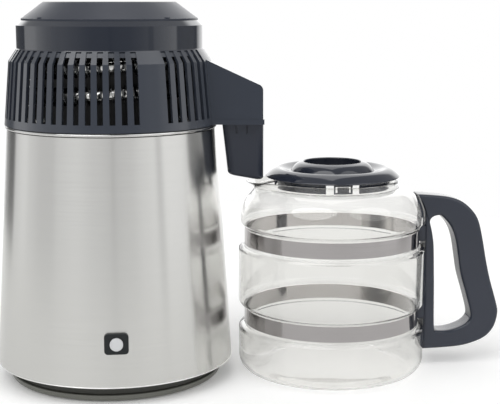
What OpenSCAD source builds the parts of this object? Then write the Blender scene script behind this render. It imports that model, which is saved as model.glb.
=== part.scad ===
// Countertop water distiller: a steel boiler, a lift-off condenser head with
// a fan, a drip nozzle, and a glass carafe with steel bands and a lid.
// The origin is the middle of the base on the bench, +Z is up, the reset
// button faces -Y and the carafe stands on the +X side.

/* [Boiler] */
// Radius of the steel wall at its lower edge
shell_r_low = 115; // [108:0.5:122]
// Radius of the steel wall at its upper edge
shell_r_top = 100.2; // [98:0.2:104]
// Height of the steel wall
shell_h = 226; // [215:1:245]
// Sheet thickness of the steel wall
shell_t = 0.8; // [0.6:0.1:1.2]
// Width of the flanges turned in at the wall's two edges
shell_flange_w = 5; // [4:0.5:6]
// How far the boiling pot stays inside the wall's upper edge
pot_inset = 7.2; // [6.4:0.2:12]
// Height of the boiling pot's floor above the base pan's shelf
pot_rise = 63; // [58:1:80]
// Sheet thickness of the boiling pot
pot_t = 0.8; // [0.6:0.1:1.2]
// Radius of the bend between the pot's wall and floor
pot_bend_r = 9; // [5:1:14]
// Radius of the bead rolled on the pot's rim
bead_r = 1.6; // [1.2:0.1:2]

/* [Base] */
// Height of the base pan's shelf above the bench
base_h = 16.8; // [15:0.2:22]
// How far the shelf stays inside the steel wall
shelf_inset = 4; // [2:0.5:4.5]
// How far the rounded band stays inside the steel wall
band_inset = 12; // [10:0.5:14]
// How far the pan's lowest edge stays inside the steel wall
edge_inset = 15.5; // [14.5:0.5:18]
// Wall thickness of the base pan
pan_t = 3; // [2:0.5:4]
// Gap between the bench and the pan's lowest edge
pan_lift = 0.6; // [0.5:0.1:2]
// Height of the rubber feet
foot_h = 4; // [3:0.5:5]
// Radius of the rubber feet
foot_r = 8; // [6:0.5:10]
// Radius of the tie rods between the pot and the base pan
tie_r = 2.5; // [2:0.25:3]
// How far the tie rods stand inside the pot's wall
tie_inset = 13; // [10:0.5:16]

/* [Heater] */
// Radius of the heater's aluminium disc
heater_r = 62; // [55:1:70]
// Thickness of the heater's aluminium disc
heater_t = 9; // [7:0.5:11]
// Radius of the heating element's ring
element_ring_r = 44; // [38:1:48]
// Radius of the heating element's tube
element_r = 4; // [3:0.25:5]
// Thickness of the clamp bar under the element
clamp_t = 3; // [2:0.5:4]
// Radius of the clamp stud
stud_r = 3; // [2.5:0.25:4]

/* [Reset button] */
// Height of the reset button above the base pan's shelf
reset_rise = 41.6; // [34:0.2:46]
// Width of the bezel
bezel_w = 22; // [20:0.5:26]
// Height of the bezel
bezel_h = 19; // [17.5:0.5:24]
// Corner radius of the bezel
bezel_corner = 3.4; // [1:0.2:4]
// How far the bezel stands out of the steel wall
bezel_proud = 3.2; // [2.5:0.1:4]
// Radius of the button
button_r = 6; // [5:0.1:7]
// How far the button stands out of its bezel
button_proud = 2.4; // [2:0.1:3]
// Radial gap of the button in its bore
button_gap = 0.08; // [0.05:0.01:0.1]

/* [Rear sockets] */
// Height of the sockets' middle above the base pan's shelf
rear_rise = 28; // [24:1:32]
// Width of the socket panel
panel_w = 66; // [62:1:74]
// Height of the socket panel
panel_h = 34; // [32:1:40]

/* [Head] */
// Turn of the head on its seat, in degrees, from the arm pointing along +X
head_turn = -6; // [-12:1:12]
// Height of the head's lower edge above the steel wall
rim_rise = 4.2; // [3.8:0.1:5]
// How far the drum's lower edge stands outside the steel wall
drum_overhang = 1.8; // [1.5:0.1:2.5]
// Height of the slotted drum below its bevel
drum_h = 60.2; // [58:0.2:66]
// How far the drum leans in from its lower edge to its bevel
drum_taper = 5.5; // [4:0.1:7]
// Height of the bevel above the drum
bevel_h = 11.7; // [10:0.1:14]
// How far the bevel leans in
bevel_in = 7.9; // [7:0.1:9]
// Height of the plain neck above the bevel
neck_h = 26; // [25:0.2:30]
// Height of the fan cap
cap_h = 17.2; // [15:0.2:20]
// Radius of the air inlet in the fan cap
inlet_r = 60.6; // [58:0.2:64]
// Wall thickness of the head's mouldings
head_t = 3; // [2.5:0.1:3.5]
// Slot positions round the drum
slot_count = 58; // [48:1:64]
// Width of each slot
slot_w = 5.2; // [4.5:0.1:5.6]
// Height of the plain sill below the slots
sill_h = 7.2; // [6:0.2:9]
// Direction of the plain panels from the arm, in degrees
panel_at = 61; // [55:1:66]

/* [Condenser and fan] */
// Gap between the spiral fin and the inside of the neck
coil_gap = 1; // [0.8:0.1:3]
// Rise of the coil in one turn
coil_pitch = 25; // [22:0.5:26]
// Turns in the coil
coil_turns = 1.84; // [1.7:0.01:1.9]
// Radius of the condenser tube
tube_r = 5; // [4.5:0.1:5.5]
// Outer radius of the spiral fin on the tube
fin_r = 8.6; // [7.5:0.1:9]
// Curls of the spiral fin along the coil
fin_curls = 96; // [60:1:100]
// Sheet thickness of the spiral fin
fin_t = 0.7; // [0.5:0.1:1]
// Radius of the fan
fan_r = 64; // [56:0.5:68]
// Blades of the fan
fan_blades = 7; // [5:1:9]
// Radius of the fan motor
motor_r = 27; // [24:0.5:30]
// Height of the fan motor
motor_h = 26; // [22:1:30]

/* [Spout arm and nozzle] */
// Width of the arm
arm_w = 56; // [54:1:60]
// Height of the arm at its outer end
arm_end_h = 36; // [34:0.5:40]
// Slope of the arm's roof, in degrees
arm_slope = 24.9; // [20:0.1:27]
// Width of the nozzle across the arm
nozzle_w = 40; // [38:0.5:44]
// Length of the nozzle along the arm at its top
nozzle_l = 39.6; // [38:0.2:41]
// How much shorter the nozzle is at its bottom
nozzle_lean = 5; // [4:0.2:7]
// How much narrower the nozzle is at its bottom
nozzle_taper = 14; // [10:0.5:18]
// Fall of the nozzle's floor towards its drip hole
nozzle_fall = 6; // [4:0.5:7]
// Wall thickness of the nozzle
nozzle_t = 2.4; // [2:0.1:2.6]
// Depth of the nozzle's spigot in the arm
spigot_h = 2.2; // [1.8:0.1:2.4]
// Height of the nozzle's lowest point above the carafe's lip
drip_gap = 1; // [0.8:0.1:3]
// Radius of the drip hole
drip_r = 3.5; // [3:0.1:4]

/* [Carafe] */
// Radius of the glass barrel
glass_r = 92; // [88:0.5:96]
// Height of the glass to its mouth
glass_h = 190.5; // [185:0.5:196]
// Wall thickness of the glass
glass_t = 3; // [2.5:0.1:3.5]
// Radius of the glass's lower corner
glass_corner_r = 14.5; // [12:0.5:18]
// How far the shoulder's barrel is inside the main barrel
shoulder_in = 2; // [0:0.5:4]
// Radius of the shoulder's curve
shoulder_arc_r = 30; // [28:0.5:31]
// Outer radius of the mouth
mouth_r = 64.4; // [63.6:0.2:66]
// Reach of the pouring lip from the axis
lip_reach = 86; // [84:0.5:88]
// Gap between the boiler's foot and the carafe
carafe_gap = 7.1; // [4:0.1:10]
// Place of the carafe across the bench
carafe_y = -14.5; // [-24:0.5:0]
// Height of each steel band
band_h = 14.9; // [12:0.1:17]
// Thickness of each steel band
band_t = 0.9; // [0.6:0.1:1.2]
// Depth of the grooves that hold the bands
groove_d = 6.6; // [6:0.1:8]
// Height of the lower band's lower edge
low_band_z = 48.6; // [44:0.2:52]
// Distance from the mouth down to the upper band's lower edge
high_band_drop = 62.6; // [60:0.2:66]

/* [Carafe handle and lid] */
// Thickness of the handle
handle_t = 24; // [20:0.5:28]
// Distance from the mouth down to the handle's top
handle_drop = 15; // [14:0.5:18]
// Height of the handle's lower edge
handle_low_z = 17; // [12:0.5:20]
// Reach of the handle's top corner beyond the glass
grip_reach_top = 49; // [45:0.5:55]
// Reach of the handle's lower corner beyond the glass
grip_reach_low = 86.5; // [80:0.5:92]
// Width of the grip at its top
grip_w_top = 22.7; // [20:0.1:26]
// Width of the grip at its lower corner
grip_w_low = 33; // [30:0.5:36]
// Radius of the lid
lid_r = 65.5; // [65:0.1:67]
// Height of the lid above the mouth
lid_h = 17.4; // [15:0.1:20]
// Rise of the rounded ring between the lid's rim and its knob
lid_ring_h = 5.3; // [3:0.1:6.5]
// Outer radius of the lid's skirt
skirt_r = 57; // [54:0.5:58.5]
// Depth of the lid's skirt
skirt_h = 6.5; // [5:0.5:9]
// Radius of the dish in the lid's knob
dish_r = 28; // [25:0.5:29]

/* [Hidden] */

// Round forms
$fn = 96;
// Steps of a drawn arc
arc_n = 10;
// Overlap of a cut past the face that it opens
cut = 1;

// Clearances
fit_gap = 0.3;
seat_gap = 0.2;
slip_gap = 0.1;

// Finishes
charcoal = "#3c4049";
black_plastic = "#24262b";
steel = "#c9c8c4";
dull_steel = "#a9abac";
brass = "#c2a253";
rubber = "#1d1d1f";
white_plastic = "#e9e9e6";

// Boiler levels
shell_top_z = base_h + shell_h;
pot_r = shell_r_top - pot_inset;
pot_floor_z = base_h + pot_rise;
pot_flange_top_z = shell_top_z + pot_t;
bead_ring_r = shell_r_top - 0.2;
bead_z = pot_flange_top_z + bead_r - 0.2;

// Base pan
shelf_r = shell_r_low - shelf_inset;
band_r = shell_r_low - band_inset;
edge_r = shell_r_low - edge_inset;
band_round_r = band_r - edge_r;
pan_in_r = edge_r - pan_t;
pan_floor_z = foot_h;
pan_floor_top_z = pan_floor_z + pan_t;
waist_r = band_r - 2.5;
shelf_t = 1.6;
vent_count = 12;
foot_ring_r = edge_r - foot_r - 7;
tie_ring_r = pot_r - tie_inset;
tie_count = 3;
tie_nut_h = 2.5;
tie_nut_r = tie_r + 2.1;

// Heater stack, downwards from the pot's floor
heater_low_z = pot_floor_z - heater_t;
clamp_top_z = heater_low_z - element_r - slip_gap;
clamp_low_z = clamp_top_z - clamp_t;
clamp_nut_h = 5;
stud_l = pot_floor_z - clamp_low_z + clamp_nut_h + 3;
element_gap_deg = 30;
terminal_h = 14;
clamp_w = 16;
clamp_over = 8;
thermostat_r = 9;
thermostat_h = 8;
thermostat_at = element_ring_r - element_r - thermostat_r - 5;

// Reset button
reset_z = base_h + reset_rise;
bezel_face_y = -(shell_r(reset_z) + bezel_proud);
bezel_tube_r = button_r + 2;
switch_y = bezel_face_y + 14.5;
button_l = 8;
button_rim_h = 0.8;
stem_r = 2.5;
switch_w = 18;
switch_d = 16;
stem_hole_d = 6;
spring_r = 4.2;
spring_wire_r = 0.5;
spring_curls = 3.5;

// Rear sockets
rear_z = base_h + rear_rise;
panel_face_y = shell_r(rear_z) + 2.2;
panel_flange_t = 3;
panel_lap = 3;
panel_corner = 4;
panel_depth = 20;
inlet_w = 27;
inlet_h = 20;
inlet_d = 20;
outlet_w = 21;
socket_h = 20;
socket_flange = 2;
socket_wall = 2;
inlet_x = -14.5;
outlet_x = 17;
pin_w = 2;
pin_h = 4.6;
pin_step = 7;
outlet_slit_w = 1.8;
outlet_slit_h = 6.8;

// Head levels, upwards from the head's lower edge
head_z = shell_top_z + rim_rise;
drum_r_low = shell_r_top + drum_overhang;
drum_r_top = drum_r_low - drum_taper;
neck_z = drum_h + bevel_h;
neck_r = drum_r_top - bevel_in;
neck_in_r = neck_r - head_t;
cap_z = neck_z + neck_h;
neck_round = 4.6;
slot_top_z = drum_h + bevel_h / 2;
flute_top_z = neck_z - 0.8;
flute_d = head_t / 2;
dome_z = 0.2;
dome_t = 0.8;
dome_flange_r = drum_r_low - head_t - 0.6;
coil_r = neck_in_r - fin_r - coil_gap;
dome_rise = 6;
dome_flat_r = 18;
ring_low_z = dome_z + dome_t;
ring_t = 3;
ring_in_r = coil_r + fin_r - 2;
dome_rise_r = ring_in_r - 1;
dome_screw_ring_r = ring_in_r + 3.6;
dome_screw_r = 1.5;
dome_screw_count = 6;
seal_in_r = pot_r + 0.4;
seal_w = 3.6;
ledge_z = cap_z - 9;
ledge_t = 3;
boss_ring_r = neck_in_r - 6;
boss_r = 4;
boss_count = 4;
cap_screw_r = 1.5;
bracket_z = neck_z + 2;
bracket_t = 2;
pad_t = 3.5;
pad_l = 12;
bracket_arms = 3;
bracket_arm_w = 12;
bracket_screw_ring_r = neck_in_r - 5;
bracket_screw_r = 1.5;
gland_r = 4;
gland_z = sill_h + 14;

// Arm and nozzle, outwards along the arm
// The carafe clears the boiler's foot, and leaves room for the nozzle beside the wall
lid_lift_gap = 3;
nozzle_clear = 6;
nozzle_proud = 0.6;
carafe_x = max(
    shell_r_low + carafe_gap + glass_r,
    shell_r_top + nozzle_clear + nozzle_l - nozzle_proud + lid_lift_gap + lid_r
);
arm_end_r = carafe_x - lid_r - lid_lift_gap;
arm_rim = 1.2;
arm_rim_side = 0.6;
arm_rim_h = 5;
arm_low_z = 0.5;
arm_corner_r = 6;
arm_root_r = drum_r_top - 12;
nozzle_out_r = arm_end_r + nozzle_proud;
nozzle_in_r = nozzle_out_r - nozzle_l;
nozzle_mid_r = (nozzle_out_r + nozzle_in_r) / 2;
nozzle_top_z = arm_low_z - slip_gap;
nozzle_low_z = glass_h + drip_gap - head_z;
nozzle_corner_r = 8;
nozzle_edge_r = 4;
nozzle_tilt = atan(nozzle_fall / (nozzle_l - nozzle_lean));
spigot_in = 3.6;
drip_at_r = nozzle_out_r - 8.5;
nozzle_h = nozzle_top_z - nozzle_low_z;
insert_t = 2.2;
insert_share = 0.24;
insert_drop = insert_share * nozzle_h;
pod_gap = 0.5;
pod_share = 0.4;
pod_drop = pod_share * nozzle_h;
grip_slit_l = 8;
grip_slit_step = 10.8;

// Condenser tube, from the riser down the coil and out along the arm
bend_r = 16;
coil_low_z = 13.5;
coil_end_deg = atan(bend_r / nozzle_mid_r);
coil_top_z = coil_low_z + coil_pitch * coil_turns;
coil_start_deg = coil_end_deg + 360 * coil_turns;
stub_l = 2 * tube_r;
down_bend_r = 9;
tube_run = norm([nozzle_mid_r, bend_r]) - coil_r - bend_r - down_bend_r;
riser_r = tube_r + 3;
riser_wall = 1.5;
riser_foot = 4;
riser_plug = 5;
riser_at = coil_r - bend_r - stub_l + riser_plug - riser_r;
tube_sides = 6;
loop_rings = 24;
curl_rings = 8;
bend_rings = 6;
chord_sag = coil_r * (1 - cos(180 / loop_rings));
fin_in_r = (tube_r + chord_sag + fit_gap) / cos(180 / curl_rings);
baffle_gap = 2.5;
baffle_t = 1.6;
baffle_r = coil_r - fin_r - baffle_gap;
comb_at = [20, 186];
comb_out_r = neck_in_r + bevel_in / 4;
comb_gap = 0.9;

// Fan
shaft_r = 3;
shaft_gap = 0.06;
motor_top_z = bracket_z;
fan_low_z = bracket_z + bracket_t + 3;
fan_h = 16;
fan_hub_r = 15;
blade_t = 1.8;
blade_tilt = 32;
cap_sleeve_t = 2.5;
grille_t = 2.6;
grille_drop = 8;
grille_rings = 5;
grille_spokes = 12;
grille_bar = 1.8;
grille_hub_r = 14;

// Carafe
shoulder_r = glass_r - shoulder_in;
shoulder_z = glass_h - 36;
band_seat_r = glass_r - groove_d;
groove_flank = 3.5;
groove_slack = 1;
high_band_z = glass_h - high_band_drop;
lip_wall = 2.4;
lip_h = 11.5;
lip_top_r = 20;
lip_low_r = 8;
post_gap = 0.4;
boss_band_r = 4.5;
band_screw_r = 2;
band_screw_head_r = 4;
band_screw_short = 3;

// Handle
handle_top_z = glass_h - handle_drop;
post_in_r = glass_r + post_gap;
shoulder_pad_r = shoulder_r - 12;
window_top_z = handle_top_z - 21.8;
window_low_z = handle_low_z + 18.3;
window_post_top_r = post_in_r + 4.6;
window_post_low_r = post_in_r + 11.6;
spot_d = 0.8;

// Lid
lid_seat_z = glass_h + fit_gap;
lid_edge_h = 3.4;
lid_slope_r = 40;
lid_ring_lean = 0.8;
lid_slope_z = lid_seat_z + 7.4;
lid_top_z = glass_h + lid_h;
knob_r = dish_r + 2.4;
lid_t = 2.4;
skirt_t = 2.2;
dish_floor_z = lid_slope_z - 3;
vent_hole_r = 12;
plug_h = 2.4;
tab_w = 18;
tab_slit = 6;
tab_bump = 3.4;

// Radius of the steel wall at a height
function shell_r(z) = shell_r_low + (shell_r_top - shell_r_low) * (z - base_h) / shell_h;

// Vector of length one
function unit(v) = v / norm(v);

// Vector in the plane turned by an angle
function turned(v, a) = [v.x * cos(a) - v.y * sin(a), v.x * sin(a) + v.y * cos(a)];

// Points on an arc
function arc(c, r, a0, a1) = [
    for (i = [0:arc_n])
        let (a = a0 + (a1 - a0) * i / arc_n)
            c + r * [cos(a), sin(a)]
];

// Points that round the corner b between its neighbours a and c
function corner(a, b, c, r) =
    let (
        u = unit(a - b),
        v = unit(c - b),
        half = acos(u * v) / 2,
        mid = b + unit(u + v) * r / sin(half),
        from = b + u * r / tan(half) - mid,
        way = cross(b - a, c - b) > 0 ? 1 : -1
    )
    [for (i = [0:arc_n]) mid + turned(from, way * (180 - 2 * half) * i / arc_n)];

// Outline with each corner rounded by its own radius
function rounded(pts, radii) =
    let (n = len(pts))
    [for (i = [0:n - 1]) each corner(pts[(i + n - 1) % n], pts[i], pts[(i + 1) % n], radii[i])];

// Rectangle about the origin with rounded corners
function rounded_box(w, h, r) =
    rounded([[-w / 2, -h / 2], [w / 2, -h / 2], [w / 2, h / 2], [-w / 2, h / 2]], [r, r, r, r]);

// Direction of a path at each of its points
function headings(path) =
    let (last = len(path) - 1)
    [for (i = [0:last]) unit(path[min(i + 1, last)] - path[max(i - 1, 0)])];

// Part of a side vector that is square to a heading
function squared(side, heading) = unit(side - (side * heading) * heading);

// Side vectors carried along a path without twist
function carried(h, side) = [
    for (i = 0, s = squared(side, h[0]); i < len(h); i = i + 1, s = i < len(h) ? squared(s, h[i]) : s) s
];

// Smooth points through a hand-laid route
function smooth(pts, n) =
    let (last = len(pts) - 1)
    concat([
        for (i = [0:last - 1], k = [0:n - 1])
            let (
                t = k / n,
                a = pts[max(i - 1, 0)],
                b = pts[i],
                c = pts[i + 1],
                d = pts[min(i + 2, last)]
            )
            (2 * b + (c - a) * t + (2 * a - 5 * b + 4 * c - d) * t * t + (3 * b - a - 3 * c + d) * t * t * t) / 2
    ], [pts[last]]);

// Triangles of a skin over rings of equal count, with both ends closed
function skin_faces(rings, sides) = concat(
    [
        for (i = [0:rings - 2], k = [0:sides - 1])
            let (a = i * sides + k, b = i * sides + (k + 1) % sides)
            each [[a, b, b + sides], [a, b + sides, a + sides]]
    ],
    [for (k = [1:sides - 2]) [0, k + 1, k]],
    [for (k = [1:sides - 2]) let (e = (rings - 1) * sides) [e, e + k, e + k + 1]]
);

// Round tube along a path
module tube(path, r, sides, side) {
    h = headings(path);
    s = carried(h, side);
    points = [
        for (i = [0:len(path) - 1], k = [0:sides - 1])
            let (a = -360 * k / sides)
            path[i] + r * (cos(a) * s[i] + sin(a) * cross(h[i], s[i]))
    ];
    polyhedron(points, skin_faces(len(path), sides));
}

// Least distance between points of a path that are not neighbours
function least_gap(path, apart) = min([
    for (i = [0:len(path) - 1 - apart], j = [i + apart:len(path) - 1]) norm(path[i] - path[j])
]);

// Copies round the vertical axis
module around(n, r, first = 0) {
    for (i = [0:n - 1])
        rotate(first + 360 * i / n)
            translate([r, 0, 0])
                children();
}

// Places a piece of the head, which stands on the boiler and turns on it
module on_head() {
    translate([0, 0, head_z])
        rotate(head_turn)
            children();
}

// Places a piece of the carafe on the bench
module at_carafe() {
    translate([carafe_x, carafe_y, 0])
        children();
}

// Round bar along +Y from a point
module along_y(from, l, r) {
    translate(from)
        rotate([-90, 0, 0])
            cylinder(h = l, r = r);
}

// Solid cone inside the steel wall's outer face
module shell_cone(more) {
    translate([0, 0, base_h])
        cylinder(h = shell_h, r1 = shell_r_low + more, r2 = shell_r_top + more);
}

// Pan head screw that points up, with its head below the origin
module screw_up(r, l) {
    cylinder(h = l, r = r);
    translate([0, 0, -1.2 * r])
        cylinder(h = 1.2 * r, r = 1.9 * r);
}

module base_pan() {
    band_top_z = pan_lift + band_round_r + 2.2;
    color(charcoal)
    difference() {
        rotate_extrude()
            polygon(concat(
                [[pan_in_r, pan_lift]],
                arc([edge_r, pan_lift + band_round_r], band_round_r, -90, 0),
                [
                    [band_r, band_top_z],
                    [waist_r, band_top_z + 1],
                    [waist_r, base_h - shelf_t - 1.6],
                    [shelf_r, base_h - shelf_t],
                    [shelf_r, base_h],
                    [pan_in_r, base_h],
                    [pan_in_r, pan_floor_top_z],
                    [0, pan_floor_top_z],
                    [0, pan_floor_z],
                    [pan_in_r, pan_floor_z]
                ]
            ));
        around(tie_count, tie_ring_r)
            translate([0, 0, pan_floor_z - cut])
                cylinder(h = pan_t + 2 * cut, r = tie_r + fit_gap);
        around(vent_count, tie_ring_r / 2)
            translate([-foot_r, -slot_w / 2, pan_floor_z - cut])
                cube([2 * foot_r, slot_w, pan_t + 2 * cut]);
    }
}

module rubber_feet() {
    color(rubber) {
        cylinder(h = foot_h, r = foot_r);
        around(4, foot_ring_r, 45)
            cylinder(h = foot_h, r = foot_r);
    }
}

module tie_rods() {
    color(dull_steel)
    around(tie_count, tie_ring_r)
        translate([0, 0, pan_floor_z - tie_nut_h])
            cylinder(h = pot_floor_z - pan_floor_z + tie_nut_h, r = tie_r);
}

module tie_nuts() {
    color(dull_steel)
    around(tie_count, tie_ring_r)
        translate([0, 0, pan_floor_z - tie_nut_h])
            difference() {
                cylinder(h = tie_nut_h, r = tie_nut_r, $fn = 6);
                translate([0, 0, -cut])
                    cylinder(h = tie_nut_h + 2 * cut, r = tie_r + slip_gap);
            }
}

module outer_shell() {
    color(steel)
    difference() {
        rotate_extrude()
            polygon([
                [shell_r_low - shell_flange_w, base_h],
                [shell_r_low, base_h],
                [shell_r_top, shell_top_z],
                [shell_r_top - shell_flange_w, shell_top_z],
                [shell_r_top - shell_flange_w, shell_top_z - shell_t],
                [shell_r_top - shell_t, shell_top_z - shell_t],
                [shell_r_low - shell_t, base_h + shell_t],
                [shell_r_low - shell_flange_w, base_h + shell_t]
            ]);
        along_y([0, -shell_r_low - cut, reset_z], shell_r_low / 2, bezel_tube_r + fit_gap);
        translate([-panel_w / 2 - fit_gap, shell_r_low / 2, rear_z - panel_h / 2 - fit_gap])
            cube([panel_w + 2 * fit_gap, shell_r_low, panel_h + 2 * fit_gap]);
    }
}

module boiler_pot() {
    color(steel) {
        rotate_extrude()
            polygon(concat(
                [[0, pot_floor_z]],
                arc([pot_r - pot_bend_r, pot_floor_z + pot_bend_r], pot_bend_r, -90, 0),
                [
                    [pot_r, shell_top_z],
                    [bead_ring_r, shell_top_z],
                    [bead_ring_r, pot_flange_top_z],
                    [pot_r - pot_t, pot_flange_top_z]
                ],
                arc([pot_r - pot_bend_r, pot_floor_z + pot_bend_r], pot_bend_r - pot_t, 0, -90),
                [[0, pot_floor_z + pot_t]]
            ));
        rotate_extrude()
            translate([bead_ring_r, bead_z])
                circle(r = bead_r);
    }
}

module heater_disc() {
    color("#b9bcbf")
    difference() {
        translate([0, 0, heater_low_z])
            cylinder(h = heater_t, r = heater_r);
        translate([0, 0, heater_low_z])
            rotate_extrude()
                translate([element_ring_r, 0])
                    circle(r = element_r + seat_gap);
        translate([0, 0, heater_low_z - cut])
            cylinder(h = heater_t + 2 * cut, r = stud_r + fit_gap);
    }
}

module heating_element() {
    color("#6d6a66")
    translate([0, 0, heater_low_z]) {
        rotate(90 + element_gap_deg)
            rotate_extrude(angle = 360 - 2 * element_gap_deg)
                translate([element_ring_r, 0])
                    circle(r = element_r);
        for (way = [-1, 1])
            rotate(90 + way * (element_gap_deg + 6))
                translate([element_ring_r, 0, -terminal_h])
                    cylinder(h = terminal_h, r = element_r - seat_gap);
    }
}

module heater_clamp() {
    l = 2 * (element_ring_r + clamp_over);
    color(dull_steel)
    difference() {
        translate([-l / 2, -clamp_w / 2, clamp_low_z])
            cube([l, clamp_w, clamp_t]);
        translate([0, 0, clamp_low_z - cut])
            cylinder(h = clamp_t + 2 * cut, r = stud_r + fit_gap);
    }
}

module clamp_stud() {
    color(dull_steel)
    translate([0, 0, pot_floor_z - stud_l])
        cylinder(h = stud_l, r = stud_r);
}

module clamp_nut() {
    color(brass)
    translate([0, 0, clamp_low_z - clamp_nut_h])
        difference() {
            cylinder(h = clamp_nut_h, r = 2 * stud_r, $fn = 6);
            translate([0, 0, -cut])
                cylinder(h = clamp_nut_h + 2 * cut, r = stud_r + slip_gap);
        }
}

module thermostat() {
    color("#d8d2c4")
    translate([0, -thermostat_at, heater_low_z - thermostat_h]) {
        cylinder(h = thermostat_h, r = thermostat_r);
        for (way = [-1, 1])
            translate([way * thermostat_r / 2 - 0.4, -3, -6])
                cube([0.8, 6, 7]);
    }
}

module reset_bezel() {
    color(charcoal)
    difference() {
        union() {
            difference() {
                translate([0, bezel_face_y, reset_z])
                    rotate([-90, 0, 0])
                        linear_extrude(switch_y - bezel_face_y)
                            polygon(rounded_box(bezel_w, bezel_h, bezel_corner));
                shell_cone(slip_gap);
            }
            along_y([0, bezel_face_y, reset_z], switch_y - bezel_face_y, bezel_tube_r);
        }
        along_y([0, bezel_face_y - cut, reset_z], switch_y - bezel_face_y + 2 * cut, button_r + button_gap);
    }
}

module reset_button() {
    color(white_plastic) {
        along_y([0, bezel_face_y - button_proud + button_rim_h, reset_z],
            button_l + button_proud - button_rim_h, button_r);
        translate([0, bezel_face_y - button_proud, reset_z])
            rotate([-90, 0, 0])
                cylinder(h = button_rim_h, r1 = button_r - button_rim_h, r2 = button_r);
        along_y([0, bezel_face_y + button_l, reset_z], switch_y - bezel_face_y - button_l + 1, stem_r);
    }
}

module reset_switch() {
    color(black_plastic)
    difference() {
        union() {
            translate([-switch_w / 2, switch_y, reset_z - switch_w / 2])
                cube([switch_w, switch_d, switch_w]);
            for (way = [-1, 1])
                translate([way * switch_w / 4 - 0.4, switch_y + switch_d - 1, reset_z - 3])
                    cube([0.8, 7, 6]);
        }
        along_y([0, switch_y - cut, reset_z], stem_hole_d + cut, stem_r + slip_gap);
    }
}

// Coil spring between the button's cap and the switch
module reset_spring() {
    low_y = bezel_face_y + button_l + spring_wire_r + slip_gap;
    l = switch_y - spring_wire_r - slip_gap - low_y;
    n = spring_curls * curl_rings;
    path = [
        for (i = [0:n])
            let (a = 360 * i / curl_rings)
            [spring_r * cos(a), low_y + l * i / n, reset_z + spring_r * sin(a)]
    ];
    echo(reset_spring_gap = least_gap(path, curl_rings - 1) - 2 * spring_wire_r);
    color(dull_steel)
    tube(path, spring_wire_r, tube_sides, [1, 0, 0]);
}

// Block with rounded edges along Y, about the middle of the sockets
module socket_block(x, w, h, r, y0, y1) {
    translate([x, y0, rear_z])
        rotate([-90, 0, 0])
            linear_extrude(y1 - y0)
                polygon(rounded_box(w, h, r));
}

module rear_panel() {
    color(charcoal)
    difference() {
        union() {
            difference() {
                socket_block(0, panel_w + 2 * panel_lap, panel_h + 2 * panel_lap, panel_corner + panel_lap,
                    shell_r_low / 2, panel_face_y);
                shell_cone(slip_gap);
            }
            socket_block(0, panel_w, panel_h, panel_corner, panel_face_y - panel_depth, panel_face_y);
        }
        socket_block(0, panel_w - 2 * pan_t, panel_h - 2 * pan_t, 1,
            panel_face_y - panel_depth - cut, panel_face_y - panel_flange_t);
        socket_block(inlet_x, inlet_w + 2 * slip_gap, inlet_h + 2 * slip_gap, 2, panel_face_y - 2 * panel_flange_t,
            panel_face_y + cut);
        socket_block(outlet_x, outlet_w + 2 * slip_gap, socket_h + 2 * slip_gap, 2,
            panel_face_y - 2 * panel_flange_t, panel_face_y + cut);
    }
}

module power_inlet() {
    color(black_plastic)
    difference() {
        union() {
            socket_block(inlet_x, inlet_w + 4, inlet_h + 4, 3, panel_face_y, panel_face_y + socket_flange);
            socket_block(inlet_x, inlet_w, inlet_h, 2, panel_face_y - inlet_d, panel_face_y);
        }
        socket_block(inlet_x, inlet_w - 2 * socket_wall, inlet_h - 2 * socket_wall, 2,
            panel_face_y - inlet_d + 2 * socket_wall, panel_face_y + socket_flange + cut);
        for (i = [-1:1])
            translate([inlet_x + i * pin_step - pin_w / 2, panel_face_y - inlet_d - cut, rear_z - pin_h / 2])
                cube([pin_w, 2 * socket_wall + 2 * cut, pin_h]);
    }
}

module inlet_pins() {
    color(brass)
    for (i = [-1:1])
        translate([inlet_x + i * pin_step - pin_w / 2, panel_face_y - inlet_d - 6, rear_z - pin_h / 2])
            cube([pin_w, inlet_d + 2, pin_h]);
}

module fan_outlet() {
    color(black_plastic)
    difference() {
        union() {
            socket_block(outlet_x, outlet_w + 4, socket_h + 4, 3, panel_face_y, panel_face_y + socket_flange);
            socket_block(outlet_x, outlet_w, socket_h, 2, panel_face_y - inlet_d, panel_face_y);
        }
        for (way = [-1, 1])
            translate([
                outlet_x + way * pin_step - outlet_slit_w / 2,
                panel_face_y - inlet_d / 2,
                rear_z - outlet_slit_h / 2
            ])
                cube([outlet_slit_w, inlet_d, outlet_slit_h]);
    }
}

// Three insulated leads between the inlet, the reset switch and the heater
module wiring() {
    lead_r = 1.6;
    lead_rings = 4;
    inlet_y = panel_face_y - inlet_d - 6;
    switch_back_y = switch_y + switch_d + 6;
    terminal_x = element_ring_r * sin(element_gap_deg + 6);
    terminal_y = element_ring_r * cos(element_gap_deg + 6);
    terminal_z = heater_low_z - terminal_h;
    to_switch = [
        [inlet_x - pin_step, inlet_y - 2, rear_z], [-22, 74, 38], [-50, 38, 30], [-60, -10, 28],
        [-46, -46, 30], [-18, -62, 44], [-switch_w / 4, switch_back_y + 2, reset_z]
    ];
    to_heater = [
        [switch_w / 4, switch_back_y + 2, reset_z], [16, -62, 46], [44, -38, 34], [54, 4, 32],
        [40, 30, 38], [terminal_x, terminal_y, terminal_z - 8], [terminal_x, terminal_y, terminal_z - 0.6]
    ];
    from_heater = [
        [inlet_x + pin_step, inlet_y - 2, rear_z], [-10, 74, 40], [-18, 54, 40],
        [-terminal_x, terminal_y, terminal_z - 8], [-terminal_x, terminal_y, terminal_z - 0.6]
    ];
    color("#7b2f2a")
    for (route = [to_switch, to_heater, from_heater])
        tube(smooth(route, lead_rings), lead_r, tube_sides, [0.3, 0.2, 1]);
}

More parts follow.
